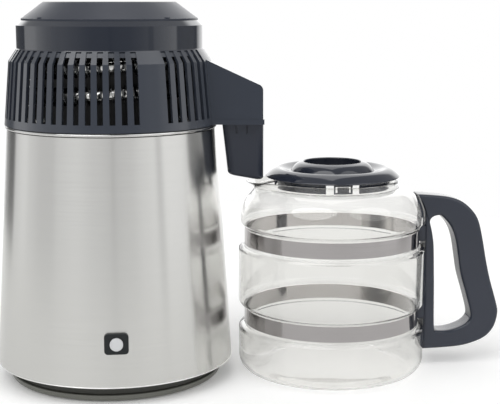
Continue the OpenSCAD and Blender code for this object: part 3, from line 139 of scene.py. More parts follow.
# At eye level: black cards far left and right, a faint shade of the lens in the middle, and
# the white wall behind, lit harder than the rest. Lower down the cards end over the table,
# and higher up the left one is narrower. The ceiling is grey, and white above the wall.
cards_and_wall = [
    (-150, 0.12), (-129, 0.12), (-125, 0.80), (-112, 0.96), (-105, 1.0), (-97, 0.85),
    (-80, 0.74), (-66, 0.72), (-60, 0.84), (-40, 0.90), (-17, 0.79), (-3, 0.74), (-1.5, 0.60),
    (1.5, 0.60), (3, 0.74), (17, 0.80), (33, 0.93), (45, 1.00), (48, 0.70), (52, 0.70),
    (55, 1.08), (70, 1.08), (86, 1.08), (90, 0.30), (118, 0.24), (131, 0.14), (137, 1.0),
    (145, 1.6), (180, 1.7),
]
eye_level = round_the_room([(-180, 1.7), (-176, 0.6), (-171, 0.20), *cards_and_wall])
over_card = round_the_room([(-180, 2.0), (-158, 1.9), *cards_and_wall[:-1], (180, 2.0)])
ceiling = round_the_room([
    (-180, 2.0), (-158, 1.9), (-148, 0.46), (138, 0.46), (148, 1.9), (180, 2.0),
])
table_level = round_the_room([
    (-180, 1.3), (-168, 1.0), (-150, 0.45), (-138, 0.22), (-129, 0.22), (-125, 0.80),
    (-107, 0.93), (-96, 0.84), (-80, 0.73), (-66, 0.74), (-58, 0.84), (-40, 0.87),
    (-17, 0.76), (0, 0.71), (17, 0.74), (33, 0.85), (44, 0.91), (47, 0.82), (53, 0.82),
    (57, 0.99), (70, 1.02), (79, 1.0), (84, 0.75), (91, 0.50), (99, 0.34), (105, 0.48),
    (111, 0.66), (122, 0.82), (140, 1.05), (180, 1.4),
])
reflected = by_height(-0.10, -0.04, table_level, eye_level)
reflected = by_height(0.01, 0.05, reflected, over_card)
reflected = by_height(0.28, 0.42, reflected, ceiling)

white = (1.0, 1.0, 1.0, 1.0)
fill_light = add(room_tree, "ShaderNodeBackground", Color=white, Strength=0.62)
mirror_view = add(room_tree, "ShaderNodeBackground", Strength=1.0)
link(reflected, mirror_view.inputs["Color"])
plain_white = add(room_tree, "ShaderNodeBackground", Color=white)
rays = add(room_tree, "ShaderNodeLightPath").outputs
# A mirror that looks through the glass sees some of the brighter wall
once_mirrored = reckon(room_tree, "MINIMUM", rays["Glossy Depth"], 1.0)
link(ranged(room_tree, once_mirrored, 0.0, 1.0, 1.0, 1.3), plain_white.inputs["Strength"])
seen = reckon(room_tree, "MAXIMUM", rays["Is Camera Ray"], rays["Is Transmission Ray"])
lit_room = either(seen, either(rays["Is Glossy Ray"], fill_light, mirror_view), plain_white)
link(lit_room.outputs[0], add(room_tree, "ShaderNodeOutputWorld").inputs["Surface"])

for lamp_name, lamp_turn, strength in (
    ("key_screen", (math.radians(38), 0.0, math.radians(-42)), 1.15),
    ("side_screen", (math.radians(48), 0.0, math.radians(52)), 0.55),
):
    lamp = bpy.data.objects.new(lamp_name, bpy.data.lights.new(lamp_name, "SUN"))
    lamp.data.energy = strength
    lamp.data.angle = math.radians(48)
    lamp.rotation_euler = lamp_turn
    bpy.context.collection.objects.link(lamp)


def surface(name, points, wrap_u=False, wrap_v=True, sharp=None, keep=None):
    """Lays four-sided faces over a grid of points, joining the last row or column
    to the first where it wraps. Keep says which faces stay. Points that meet are
    merged and faces turned out."""
    nu, nv = points.shape[:2]
    order = np.arange(nu * nv).reshape(nu, nv)
    if wrap_u:
        order = np.vstack([order, order[:1]])
    if wrap_v:
        order = np.hstack([order, order[:, :1]])
    faces = np.stack([
        order[:-1, :-1], order[1:, :-1], order[1:, 1:], order[:-1, 1:],
    ], axis=-1).reshape(-1, 4)
    if keep is not None:
        faces = faces[np.asarray(keep).ravel()]
    mesh = bpy.data.meshes.new(name)
    mesh.from_pydata(points.reshape(-1, 3).tolist(), [], faces.tolist())
    skin = bmesh.new()
    skin.from_mesh(mesh)
    bmesh.ops.remove_doubles(skin, verts=skin.verts, dist=1e-6)
    bmesh.ops.dissolve_degenerate(skin, edges=skin.edges, dist=1e-7)
    bmesh.ops.delete(skin, geom=[v for v in skin.verts if not v.link_faces], context="VERTS")
    bmesh.ops.recalc_face_normals(skin, faces=skin.faces)
    skin.to_mesh(mesh)
    skin.free()
    mesh.polygons.foreach_set("use_smooth", np.ones(len(mesh.polygons), dtype=bool))
    if sharp:
        mesh.set_sharp_from_angle(angle=math.radians(sharp))
    piece = bpy.data.objects.new(name, mesh)
    bpy.context.collection.objects.link(piece)
    return piece


def revolve(name, profile, turns=160, middle=(0.0, 0.0), sharp=None):
    """Turns a profile of radius and height about an upright axis: x is the radius
    times the cosine of the turn, y the radius times its sine. Sizes are millimetres."""
    angle = np.linspace(0, 2 * np.pi, turns, endpoint=False)
    r, z = np.asarray(profile, dtype=float).T
    points = np.stack([
        middle[0] + r[:, None] * np.cos(angle),
        middle[1] + r[:, None] * np.sin(angle),
        np.broadcast_to(z[:, None], (len(r), turns)),
    ], axis=-1)
    return surface(name, points / 1000, sharp=sharp)


table_z, table_rings = -0.4, (0.0, 400.0, 800.0, 1000.0)
table_top = revolve("table_top", [(r, table_z) for r in table_rings], turns=64)
white_laminate = bpy.data.materials.new("white_laminate")
white_laminate.use_nodes = True
table_tree = white_laminate.node_tree
table_shader = table_tree.nodes["Principled BSDF"]
table_shader.inputs["Roughness"].default_value = 0.75
table_shader.inputs["Emission Color"].default_value = (1.0, 1.0, 1.0, 1.0)
table_shader.inputs["Emission Strength"].default_value = 0.10
# The table is paper-white to the eye and a little greyer in the steel
table_shade = add(table_tree, "ShaderNodeMixRGB",
                  Color1=(0.96, 0.96, 0.955, 1.0), Color2=(0.76, 0.76, 0.745, 1.0))
in_mirror = add(table_tree, "ShaderNodeLightPath").outputs["Is Glossy Ray"]
table_tree.links.new(in_mirror, table_shade.inputs["Fac"])
table_tree.links.new(table_shade.outputs["Color"], table_shader.inputs["Base Color"])
table_top.data.materials.append(white_laminate)


# The base pan: a dark moulded tray with a rounded band round its foot. It stands
# on five rubber feet, and nuts under its floor hold the tie rods.
def finish_of(name, colour, rough, metal=0.0):
    """A new material and what its parts hang on: tree, shader and object coordinates."""
    material = bpy.data.materials.new(name)
    material.use_nodes = True
    tree = material.node_tree
    shader = tree.nodes["Principled BSDF"]
    shader.inputs["Base Color"].default_value = (*colour, 1.0)
    shader.inputs["Roughness"].default_value = rough
    shader.inputs["Metallic"].default_value = metal
    return material, tree, shader, add(tree, "ShaderNodeTexCoord").outputs["Object"]


def stretched(tree, where, scale):
    """The object's coordinates times three scales, for a grain with a direction."""
    mapping = add(tree, "ShaderNodeMapping")
    mapping.inputs["Scale"].default_value = scale
    tree.links.new(where, mapping.inputs["Vector"])
    return mapping.outputs["Vector"]


def speckle(tree, where, scale, detail=2.0):
    """Soft noise between 0 and 1 at so many grains to the metre."""
    noise = add(tree, "ShaderNodeTexNoise", Scale=scale, Detail=detail)
    tree.links.new(where, noise.inputs["Vector"])
    return noise.outputs["Fac"]


def tint(tree, shader, fac, dark, light):
    """Varies the colour between two shades as a value runs from 0.3 to 0.7."""
    tree.links.new(grade(tree, fac, [(0.3, dark), (0.7, light)]), shader.inputs["Base Color"])


def roughen(tree, shader, fac, low, high):
    """Varies the roughness between two values."""
    tree.links.new(ranged(tree, fac, 0.0, 1.0, low, high), shader.inputs["Roughness"])


def emboss(tree, shader, fac, strength, depth):
    """Raises a fine relief from a value, depth in metres."""
    bump = add(tree, "ShaderNodeBump", Strength=strength, Distance=depth)
    tree.links.new(fac, bump.inputs["Height"])
    tree.links.new(bump.outputs["Normal"], shader.inputs["Normal"])


def skin_grain(tree, shader, where, strength):
    """The fine grain that a mould leaves on plastic."""
    emboss(tree, shader, speckle(tree, where, 1600.0, 3.0), strength, 0.00006)


def moulding(name, dark, light, rough, grain, shine=0.5):
    """Moulded plastic: a slow drift of shade, patches of gloss and a fine skin grain."""
    material, tree, shader, where = finish_of(name, light, rough)
    shader.inputs["Specular IOR Level"].default_value = shine
    tint(tree, shader, speckle(tree, where, 9.0), dark, light)
    roughen(tree, shader, speckle(tree, where, 55.0, 3.0), rough - 0.05, rough + 0.07)
    skin_grain(tree, shader, where, grain)
    return material


def dress(material, *nodes):
    """Gives CAD nodes a finish."""
    for node in nodes:
        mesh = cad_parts[node].data
        mesh.materials.clear()
        mesh.materials.append(material)


base_plastic, base_tree, base_shader, base_where = finish_of(
    "base_plastic", (0.10, 0.101, 0.092), 0.32)
# The band is satin and painted lighter, as if lit from the table below; the recess above it is left
# dull from the mould and painted dark as shade under the steel's overhang. Heights in metres
foot_band_end, recess_start = 0.0058, 0.0076
recess_shade = ranged(base_tree, axes(base_tree, base_where)["Z"], foot_band_end, recess_start)
# Painted light: the band's colour is lighter and the recess's darker, standing in for the table's
# bounce and the steel's shadow
tint(base_tree, base_shader, recess_shade, (0.150, 0.152, 0.134), (0.042, 0.043, 0.036))
roughen(base_tree, base_shader, recess_shade, 0.30, 0.55)
skin_grain(base_tree, base_shader, base_where, 0.05)
foot_rubber = moulding("foot_rubber", (0.012, 0.012, 0.012), (0.020, 0.020, 0.020), 0.8, 0.5)
dress(base_plastic, "base_pan")
dress(foot_rubber, "rubber_feet", "lead_gland")


# The tie rods, clamps and screws: plated steel, bought in, each fixed by its nut or thread.
def plated(name, dark, light, rough):
    """Bare or plated metal: faint clouding and turning marks."""
    material, tree, shader, where = finish_of(name, light, rough, 1.0)
    tint(tree, shader, speckle(tree, where, 120.0, 3.0), dark, light)
    roughen(tree, shader, speckle(tree, stretched(tree, where, (200.0, 200.0, 1800.0)), 1.0, 2.0),
            rough - 0.06, rough + 0.08)
    return material


zinc = plated("zinc_plate", (0.42, 0.43, 0.44), (0.56, 0.57, 0.58), 0.36)
dress(zinc, "tie_rods", "tie_nuts", "heater_clamp", "clamp_stud", "reset_spring", "dome_screws",
      "motor_bracket", "bracket_screws", "fan_shaft", "cap_screws", "band_screws")


# The boiler's wall: thin stainless sheet rolled into a cone and brushed round it,
# with both edges turned in. The pot's rolled rim sits on its upper edge.
def brushed(name, dark, light, rough, grain):
    """Brushed stainless: fine lines round the axis that shade the metal and its gloss,
    and smear what it mirrors up and down."""
    material, tree, shader, where = finish_of(name, light, rough, 1.0)
    lines = speckle(tree, stretched(tree, where, (14.0, 14.0, 5200.0)), 1.0, 4.0)
    tint(tree, shader, lines, dark, light)
    roughen(tree, shader, speckle(tree, stretched(tree, where, (40.0, 40.0, 2600.0)), 1.0, 3.0),
            rough - 0.03, rough + 0.04)
    emboss(tree, shader, lines, grain, 0.00002)
    shader.inputs["Anisotropic"].default_value = 0.8
    tree.links.new(add(tree, "ShaderNodeCombineXYZ", Z=1.0).outputs[0], shader.inputs["Tangent"])
    return material


def arc(middle_r, middle_z, radius, start, end, count):
    """Points on an arc: the middle plus the radius times cosine and sine."""
    a = np.radians(np.linspace(start, end, count))
    return np.stack([middle_r + radius * np.cos(a), middle_z + radius * np.sin(a)], axis=-1)


wall_steel = brushed("wall_steel", (0.630, 0.628, 0.612), (0.660, 0.658, 0.642), 0.20, 0.01)
dress(wall_steel, "outer_shell")
hem_r, hem_z, hem_round = 114.75, 17.35, 0.6
rolled_hem = revolve("rolled_hem", arc(hem_r, hem_z, hem_round, 0, 360, 17), turns=256)
# The hem's steel is painted near white, a painted highlight along the wall's lower edge
hem_highlight_steel = plated("hem_highlight_steel", (0.90, 0.90, 0.89), (0.97, 0.97, 0.96), 0.42)
rolled_hem.data.materials.append(hem_highlight_steel)
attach(rolled_hem, "boiler")


# The boiling pot: one deep-drawn stainless cup. Its rim is turned out over the
# wall's upper edge and rolled into a bead that the head stands over.
pot_r, pot_floor, pot_bend, pot_sheet = 93.0, 79.8, 9.0, 0.8
rim_z, bead_r, bead_middle = 242.8, 1.6, (100.0, 245.0)
boiling_pot = revolve("boiling_pot", np.concatenate([
    [(0.0, pot_floor)],
    arc(pot_r - pot_bend, pot_floor + pot_bend, pot_bend, -90, 0, 9),
    [(pot_r, rim_z - 1.0), (pot_r + 0.3, rim_z - 0.2), (pot_r + 1.0, rim_z)],
    [(bead_middle[0] - 1.2, rim_z)],
    arc(*bead_middle, bead_r, -80, 215, 22),
    [(pot_r + 0.6, rim_z + pot_sheet), (pot_r - 0.5, rim_z + 0.4)],
    [(pot_r - pot_sheet, rim_z - 1.0)],
    arc(pot_r - pot_bend, pot_floor + pot_bend, pot_bend - pot_sheet, 0, -90, 9),
    [(0.0, pot_floor + pot_sheet)],
]), turns=256, sharp=40)
pot_steel = brushed("pot_steel", (0.62, 0.62, 0.61), (0.70, 0.70, 0.69), 0.16, 0.03)
boiling_pot.data.materials.append(pot_steel)
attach(boiling_pot, "boiler")
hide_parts("boiler_pot")
dress(pot_steel, "dome_plate", "steam_riser")


# The heater under the pot: an aluminium disc, a sheathed element clamped to it by
# a bar, stud and brass nut, a thermostat and three silicone leads.
bare_aluminium = plated("bare_aluminium", (0.60, 0.61, 0.62), (0.74, 0.75, 0.76), 0.34)
sheath = plated("element_sheath", (0.16, 0.15, 0.14), (0.26, 0.25, 0.23), 0.5)
brass = plated("bare_brass", (0.60, 0.45, 0.18), (0.72, 0.56, 0.25), 0.3)
cream_resin = moulding("cream_resin", (0.56, 0.52, 0.43), (0.66, 0.62, 0.53), 0.5, 0.2)
lead_silicone = moulding("lead_silicone", (0.16, 0.022, 0.018), (0.24, 0.04, 0.03), 0.5, 0.2)
dress(bare_aluminium, "heater_disc")
dress(sheath, "heating_element")
dress(brass, "clamp_nut", "inlet_pins")
dress(cream_resin, "thermostat")
dress(lead_silicone, "wiring")


# The reset button: a white cap in a dark bezel that snaps into the wall,
# with the switch behind it.
charcoal = moulding(
    "charcoal_plastic", (0.0230, 0.0275, 0.0410), (0.0270, 0.0320, 0.0470), 0.34, 0.03, 0.34)
bezel_black = moulding(
    "bezel_black", (0.0120, 0.0140, 0.0150), (0.0160, 0.0185, 0.0200), 0.40, 0.05, 0.25)
black_resin = moulding("black_resin", (0.008, 0.0085, 0.010), (0.014, 0.015, 0.017), 0.5, 0.25)
button_white = moulding("button_white", (0.53, 0.54, 0.55), (0.58, 0.59, 0.60), 0.30, 0.08)
dress(bezel_black, "reset_bezel")
dress(charcoal, "rear_panel")
dress(button_white, "reset_button")
dress(black_resin, "reset_switch", "power_inlet", "fan_outlet")


# The head: a slotted charcoal moulding with a hollow arm, closed on top by the fan
# cap and below by the dome plate. Fan, motor and grille sit inside it.
head_plastic, head_tree, head_shader, head_where = finish_of(
    "head_plastic", (0.022, 0.0255, 0.036), 0.36)
# The drum and arm are spark-finished; the neck above them is polished. Heights in metres
drum_end, neck_start = 0.3176, 0.3192
polish = ranged(head_tree, axes(head_tree, head_where)["Z"], drum_end, neck_start)
tint(head_tree, head_shader, polish, (0.0350, 0.0415, 0.0560), (0.0170, 0.0215, 0.0330))
roughen(head_tree, head_shader, polish, 0.20, 0.05)
# It shines more where it turns away from the eye
slant = add(head_tree, "ShaderNodeLayerWeight", Blend=0.5).outputs["Facing"]
sheen = ranged(head_tree, slant, 0.02, 0.4, 0.24, 1.20)
head_tree.links.new(sheen, head_shader.inputs["Specular IOR Level"])
skin_grain(head_tree, head_shader, head_where, 0.03)
dress(head_plastic, "head_housing")
dress(charcoal, "fan_cap")
dress(black_resin, "fan_rotor", "fan_grille", "air_baffle")
dress(plated("motor_can", (0.28, 0.29, 0.30), (0.38, 0.39, 0.40), 0.4), "fan_motor")
dress(moulding("seal_silicone", (0.62, 0.60, 0.56), (0.70, 0.68, 0.64), 0.6, 0.2), "head_seal")


# The condenser: a steel tube bent from the riser down through two turns and out
# along the arm, with a crimped aluminium strip wound on edge round its turns.
head_z, head_turn = 247.0, np.radians(-6.0)
coil_r, coil_low, coil_pitch, coil_turns, tube_r = 76.0, 13.5, 25.0, 1.84, 5.0
bend_r, drop_r, stub, nozzle_middle = 16.0, 9.0, 10.0, 126.4
coil_end = np.arctan(bend_r / nozzle_middle)
coil_start = coil_end + 2 * np.pi * coil_turns
coil_top = coil_low + coil_pitch * coil_turns


def on_head(points):
    """Turns points of the head about its axis and lifts them to its seat, in metres."""
    c, s = np.cos(head_turn), np.sin(head_turn)
    x, y, z = np.moveaxis(points, -1, 0)
    return np.stack([c * x - s * y, s * x + c * y, z + head_z], axis=-1) / 1000


def coil_at(t):
    """The helix: the turn falls evenly from start to end while the height falls with it."""
    a = coil_start + (coil_end - coil_start) * t
    z = coil_top + (coil_low - coil_top) * t
    return np.stack([coil_r * np.cos(a), coil_r * np.sin(a), z], axis=-1)


def beside(direction, along, left, z):
    """Points at a distance along a direction and a shift to its left, at a height."""
    along, left, z = np.broadcast_arrays(np.asarray(along, float), left, z)
    c, s = np.cos(direction), np.sin(direction)
    return np.stack([along * c - left * s, along * s + left * c, z], axis=-1)


def unit(v):
    """Vectors of length one."""
    return v / np.linalg.norm(v, axis=-1, keepdims=True)


def tube(name, path, radius, sides=20):
    """A round tube: at each point of the path a circle of the radius, square to the
    path's heading, with its first side level. Upright stretches keep the last side."""
    heading = unit(np.gradient(path, axis=0))
    level = np.cross([0.0, 0.0, 1.0], heading)
    sound = np.linalg.norm(level, axis=-1) > 0.05
    last = np.maximum.accumulate(np.where(sound, np.arange(len(path)), 0))
    side = unit(level[last])
    side = unit(side - (side * heading).sum(-1, keepdims=True) * heading)
    a = np.linspace(0, 2 * np.pi, sides, endpoint=False)[None, :, None]
    up = np.cross(heading, side)
    rings = path[:, None] + radius * (np.cos(a) * side[:, None] + np.sin(a) * up[:, None])
    start, end = (np.broadcast_to(path[k], rings[:1].shape) for k in (0, -1))
    return surface(name, on_head(np.concatenate([start, rings, end])), sharp=50)


quarter = np.linspace(np.pi / 2, 0, 9)
run_start, run_end = coil_r - bend_r, np.hypot(nozzle_middle, bend_r) - drop_r
into_coil, out_of_coil = quarter[:-1], quarter[1:]
tube_path = np.concatenate([
    beside(coil_start, np.linspace(run_start - stub, run_start, 4)[:-1], bend_r, coil_top),
    beside(coil_start, run_start + bend_r * np.cos(into_coil),
           bend_r * np.sin(into_coil), coil_top),
    coil_at(np.linspace(0, 1, 180)),
    beside(coil_end, coil_r + bend_r - bend_r * np.sin(out_of_coil),
           -bend_r * np.cos(out_of_coil), coil_low),
    beside(coil_end, run_end + drop_r * np.cos(quarter), -bend_r,
           coil_low - drop_r * (1 - np.sin(quarter))),
    beside(coil_end, [run_end + drop_r], -bend_r, [coil_low - drop_r - stub]),
])
condenser_tube = tube("condenser_tube", tube_path, tube_r)
condenser_tube.data.materials.append(pot_steel)
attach(condenser_tube, "head")
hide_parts("condenser_coil")

fin_curls, fin_steps, fin_edge, fin_crease, fin_sheet = 190, 20, 8.6, 6.6, 0.35
crimp_depth, crimp_rate, rag_share, rag_rate, rag_shift = 0.55, 9.37, 0.05, 3.71, 0.6
fin_t = np.linspace(0.006, 0.994, fin_curls * fin_steps + 1)
fin_middle = coil_at(fin_t)
fin_along = unit(np.gradient(fin_middle, axis=0))
fin_out = unit(fin_middle * [1.0, 1.0, 0.0])
fin_out = unit(fin_out - (fin_out * fin_along).sum(-1, keepdims=True) * fin_along)
fin_up = np.cross(fin_along, fin_out)
fin_a = 2 * np.pi * np.arange(len(fin_t)) / fin_steps
fin_way = np.cos(fin_a)[:, None] * fin_out + np.sin(fin_a)[:, None] * fin_up
fin_reach = np.array([tube_r, fin_crease, fin_edge, fin_edge, fin_crease, tube_r])
fin_side = np.array([-1, -1, -1, 1, 1, 1]) * fin_sheet / 2
crimp = crimp_depth * np.cos(fin_a * crimp_rate)[:, None] * (
    (fin_edge - fin_reach)[None, :] / (fin_edge - tube_r))
ragged = 1.0 + rag_share * np.cos(fin_a * rag_rate + rag_shift)[:, None] * (
    fin_reach[None, :] == fin_edge)
fin_strip = surface("fin_strip", on_head(
    fin_middle[:, None]
    + (fin_reach[None, :] * ragged)[..., None] * fin_way[:, None]
    + (fin_side[None, :] + crimp)[..., None] * fin_along[:, None]
))
fin_metal, fin_tree, fin_shader, fin_where = finish_of(
    "fin_aluminium", (0.30, 0.31, 0.32), 0.24, 1.0)
# The strip is painted bright where it faces the front and painted dark round the sides, a painted
# shade. The two places are in metres
bright_y, shaded_y = -0.079, -0.063
side_shade = ranged(fin_tree, axes(fin_tree, fin_where)["Y"], bright_y, shaded_y)
# Painted shade: the colour darkens from the front towards the sides
tint(fin_tree, fin_shader, side_shade, (0.30, 0.31, 0.32), (0.02, 0.021, 0.023))
roughen(fin_tree, fin_shader, speckle(fin_tree, fin_where, 700.0, 2.0), 0.14, 0.34)
fin_strip.data.materials.append(fin_metal)
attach(fin_strip, "head")
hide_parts("coil_fins")


# The nozzle: a charcoal cup that clips under the arm and drips into the carafe.
# A porcelain insert in it holds the filter pod.
corner_steps = 9


def cornered(straight):
    """Weights of a rounded rectangle's points, counter-clockwise from +X: along x and
    y for the corner's middle, and for the corner's radius. Straight gives the places
    of extra points on the two long sides, from -1 to 1."""
    quarters = np.arange(4)[:, None] * 90.0 + np.linspace(0, 90, corner_steps)
    c, s = np.cos(np.radians(quarters)), np.sin(np.radians(quarters))
    down, n, one = np.asarray(straight)[::-1], len(straight), np.ones(corner_steps)
    mid_x = np.concatenate([one, down, -one, -one, straight, one])
    mid_y = np.concatenate([one, np.ones(n), one, -one, -np.ones(n), -one])
    arc_x = np.concatenate([c[0], np.zeros(n), c[1], c[2], np.zeros(n), c[3]])
    arc_y = np.concatenate([s[0], np.ones(n), s[1], s[2], -np.ones(n), s[3]])
    return mid_x, mid_y, arc_x, arc_y


cup_in, cup_out, cup_half, cup_lean, cup_taper, cup_corner = 106.6, 146.2, 20.0, 5.0, 7.0, 8.0
cup_top, cup_low, cup_fall, cup_round, cup_wall = 0.4, -49.5, 6.0, 4.0, 2.4
drip_x, drip_r = 137.7, 3.5
plug_in, plug_out, plug_low, plug_top = 6.0, 3.6, -1.6, 2.2
slit_places, slit_half, slit_deep = np.array([-0.55, 0.32]), 0.05, 1.1
slit_start, slit_end = 0.0355, 0.1905
slit_edges = slit_places[:, None] + slit_half * np.array([-1.4, -1.0, 1.0, 1.4])
side_places = np.sort(np.concatenate([np.linspace(-0.97, 0.97, 9), slit_edges.ravel()]))
mid_x, mid_y, arc_x, arc_y = cornered(side_places)
bend = np.radians(np.linspace(0, 90, 8))[1:]


def cup_floor(x):
    """The height of the cup's sloping floor."""
    return cup_low - (x - cup_in - cup_lean) * cup_fall / (cup_out - cup_in - cup_lean)


def cup_rows(fall, inset, lift, corner):
    """Rows of the cup: fall runs from 0 at the top to 1 at the sloping floor, inset
    shrinks the plan, lift raises the row, and corner is the plan's corner radius."""
    rows = np.broadcast_arrays(*map(np.atleast_1d, (fall, inset, lift, corner)))
    fall, inset, lift, corner = (row[:, None] for row in rows)
    inner, outer = cup_in + cup_lean * fall + inset, cup_out - inset
    half_l, half_w = (outer - inner) / 2, cup_half - cup_taper * fall - inset
    x = (inner + outer) / 2 + mid_x * (half_l - corner) + arc_x * corner
    y = mid_y * (half_w - corner) + arc_y * corner
    return np.stack([x, y, cup_top * (1 - fall) + fall * cup_floor(x) + lift], axis=-1)


def drip_ring(lift):
    """The round drip hole, cut through the floor at a height above its slope."""
    x = drip_x + drip_r * arc_x
    return np.stack([x, drip_r * arc_y, cup_floor(x) + lift], axis=-1)[None]


cup_fall_rows = np.array([
    0.012, 0.035, 0.036, 0.06, 0.10, 0.15, 0.19, 0.191, 0.25, 0.4, 0.55, 0.7, 0.85, 1.0,
])
outside = cup_rows(cup_fall_rows, 0.0, cup_round * cup_fall_rows, cup_corner)
in_slit = np.abs(side_places[:, None] - slit_places).min(1) < slit_half * 1.2
no_slit = np.zeros(corner_steps, bool)
on_side = np.concatenate([no_slit, in_slit[::-1], no_slit, no_slit, in_slit, no_slit])
slit_rows = (cup_fall_rows > slit_start) & (cup_fall_rows < slit_end)
outside[..., 1] -= slit_deep * mid_y * (slit_rows[:, None] & on_side[None, :])
# Down the outside, round the foot and through the drip hole, then up the inside to the
# collar that plugs into the arm
nozzle = surface("nozzle_shell", on_head(np.concatenate([
    cup_rows(0.0, 0.5, 0.0, cup_corner - 0.5),
    outside,
    cup_rows(1.0, cup_round * (1 - np.cos(bend)), cup_round * (1 - np.sin(bend)), cup_corner - 2.0),
    drip_ring(0.0), drip_ring(cup_wall),
    cup_rows(1.0, cup_wall + 2.5, cup_wall, 4.0),
    cup_rows(np.array([0.95, 0.5, 0.08]), cup_wall, 3.0, cup_corner - cup_wall),
    cup_rows(0.0, plug_in, np.array([plug_low, plug_top]), cup_corner - plug_in),
    cup_rows(0.0, plug_out, np.array([plug_top, 0.0]), cup_corner - plug_out),
])), wrap_u=True, sharp=35)
nozzle.data.materials.append(charcoal)
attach(nozzle, "nozzle")
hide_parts("nozzle_cup")
porcelain = moulding("glazed_porcelain", (0.78, 0.77, 0.73), (0.86, 0.85, 0.81), 0.16, 0.03)
dress(porcelain, "ceramic_insert")
dress(moulding("pod_cloth", (0.03, 0.03, 0.03), (0.06, 0.06, 0.06), 0.9, 0.8), "charcoal_pod")


# The carafe: blown glass with a pouring lip and two grooves. A steel band in each
# groove holds the handle by a screw.
carafe_middle = (214.1, -14.5)
barrel_r, shoulder_r, mouth_r, glass_wall = 92.0, 90.0, 64.4, 1.8
glass_h, foot_round, shoulder_round = 190.5, 14.5, 30.0
floor_slope, floor_rise = 12.0, 1.2
groove_depth, groove_slope, groove_room = 6.6, 4.5, 1.0
band_h, low_band_z, high_band_z = 14.9, 48.6, 127.9
shoulder_z = glass_h - 36.0


def eased(x):
    """A smooth step from 0 to 1: three x squared less two x cubed."""
    x = np.clip(x, 0.0, 1.0)
    return x * x * (3.0 - 2.0 * x)


def barrel(inset):
    """The upright stretch of the glass: the barrel's radius less an eased groove at
    each band, passing to the shoulder's radius above the upper one."""
    z = np.linspace(foot_round, shoulder_z, 90)
    reach = groove_room + groove_slope
    groove = sum(
        eased((z - low + reach) / groove_slope) * eased((low + band_h + reach - z) / groove_slope)
        for low in (low_band_z, high_band_z)
    )
    full = barrel_r - (barrel_r - shoulder_r) * eased((z - high_band_z) / band_h)
    seat = barrel_r - groove_depth
    return np.stack([full - (full - seat) * groove - inset, z], axis=-1)


def wall_line(inset, floor_z):
    """One face of the glass from the floor's middle to below the rim."""
    neck_in = mouth_r - inset - shoulder_r + shoulder_round
    neck_turn = np.degrees(np.arccos(neck_in / (shoulder_round - inset)))
    floor_r = barrel_r - foot_round
    raised_r, slope = floor_r - floor_slope, np.linspace(0.1, 0.9, 5)
    return np.concatenate([
        np.stack([np.linspace(0.0, raised_r, 8), np.full(8, floor_z + floor_rise)], axis=-1),
        np.stack([raised_r + floor_slope * slope,
                  floor_z + floor_rise - floor_rise * eased(slope)], axis=-1),
        arc(floor_r, foot_round, foot_round - inset, -90, 0, 14)[:-1],
        barrel(inset)[:-1],
        arc(shoulder_r - shoulder_round, shoulder_z, shoulder_round - inset, 0, neck_turn, 26),
    ])


def through(points, steps, closed=False):
    """A smooth curve through points: on each span a cubic whose slope at a point is
    half the step between that point's neighbours."""
    p = np.asarray(points, dtype=float)
    p = np.vstack([p[-1:], p, p[:2]] if closed else [2 * p[:1] - p[1:2], p, 2 * p[-1:] - p[-2:-1]])
    t = np.linspace(0, 1, steps, endpoint=False)[None, :, None]
    a, b, c, d = (p[i:len(p) - 3 + i, None] for i in range(4))
    curve = (2 * b + (c - a) * t + (2 * a - 5 * b + 4 * c - d) * t ** 2
             + (3 * b - a - 3 * c + d) * t ** 3) / 2
    curve = curve.reshape(-1, p.shape[1])
    return curve if closed else np.vstack([curve, p[-2:-1]])


rim = arc(mouth_r - glass_wall / 2, glass_h - glass_wall / 2, glass_wall / 2, 0, 180, 9)
outer_face, inner_face = wall_line(0.0, 0.0), wall_line(glass_wall, glass_wall)[::-1]
neck_low, neck_high, neck_inside = 185.6, 187.2, mouth_r - glass_wall
glass_line = np.concatenate([
    outer_face, [(mouth_r, neck_low), (mouth_r, neck_high)], rim,
    [(neck_inside, neck_high), (neck_inside, neck_low)], inner_face,
])
# The lip's own profile: it leaves the shoulder, draws in and flicks out to its tip
lip_line = through([(82.8, 174.0), (79.6, 178.0), (77.8, 181.0), (77.2, 183.5), (78.2, 186.0),
                    (80.8, 188.0), (83.6, 189.5), (86.0, 190.5)], 8)
lip_width, lip_foot, lip_ease = np.radians(20.0), 173.0, 5.0
dip, dip_foot, dip_ease = 1.2, 183.0, 7.0
around_glass = np.linspace(0, 2 * np.pi, 240, endpoint=False)
lip_share = np.exp(-((np.angle(-np.exp(1j * around_glass)) / lip_width) ** 2))
line_r, line_z = glass_line.T
rim_start, rim_end = len(outer_face) + 1, len(outer_face) + 12
into_wall = np.interp(np.arange(len(line_r)), [rim_start, rim_end], [0.0, glass_wall])
lip_r = np.interp(line_z, lip_line[:, 1], lip_line[:, 0])
lip_push = np.clip(lip_r - into_wall - line_r, 0.0, None) * eased((line_z - lip_foot) / lip_ease)
glass_radius = line_r[:, None] + lip_push[:, None] * lip_share
lip_dip = dip * eased((line_z - dip_foot) / dip_ease)
carafe_glass = surface("blown_glass", np.stack([
    carafe_middle[0] + glass_radius * np.cos(around_glass),
    carafe_middle[1] + glass_radius * np.sin(around_glass),
    line_z[:, None] - lip_dip[:, None] * lip_share,
], axis=-1) / 1000)
clear_glass, glass_tree, glass_shader, glass_where = finish_of(
    "clear_glass", (0.952, 0.950, 0.940), 0.0)
glass_shader.inputs["Transmission Weight"].default_value = 1.0
glass_shader.inputs["IOR"].default_value = 1.5
emboss(glass_tree, glass_shader, speckle(glass_tree, glass_where, 26.0, 1.0), 0.06, 0.0006)
carafe_glass.data.materials.append(clear_glass)
carafe_glass.visible_shadow = False
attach(carafe_glass, "carafe")
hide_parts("carafe_glass")
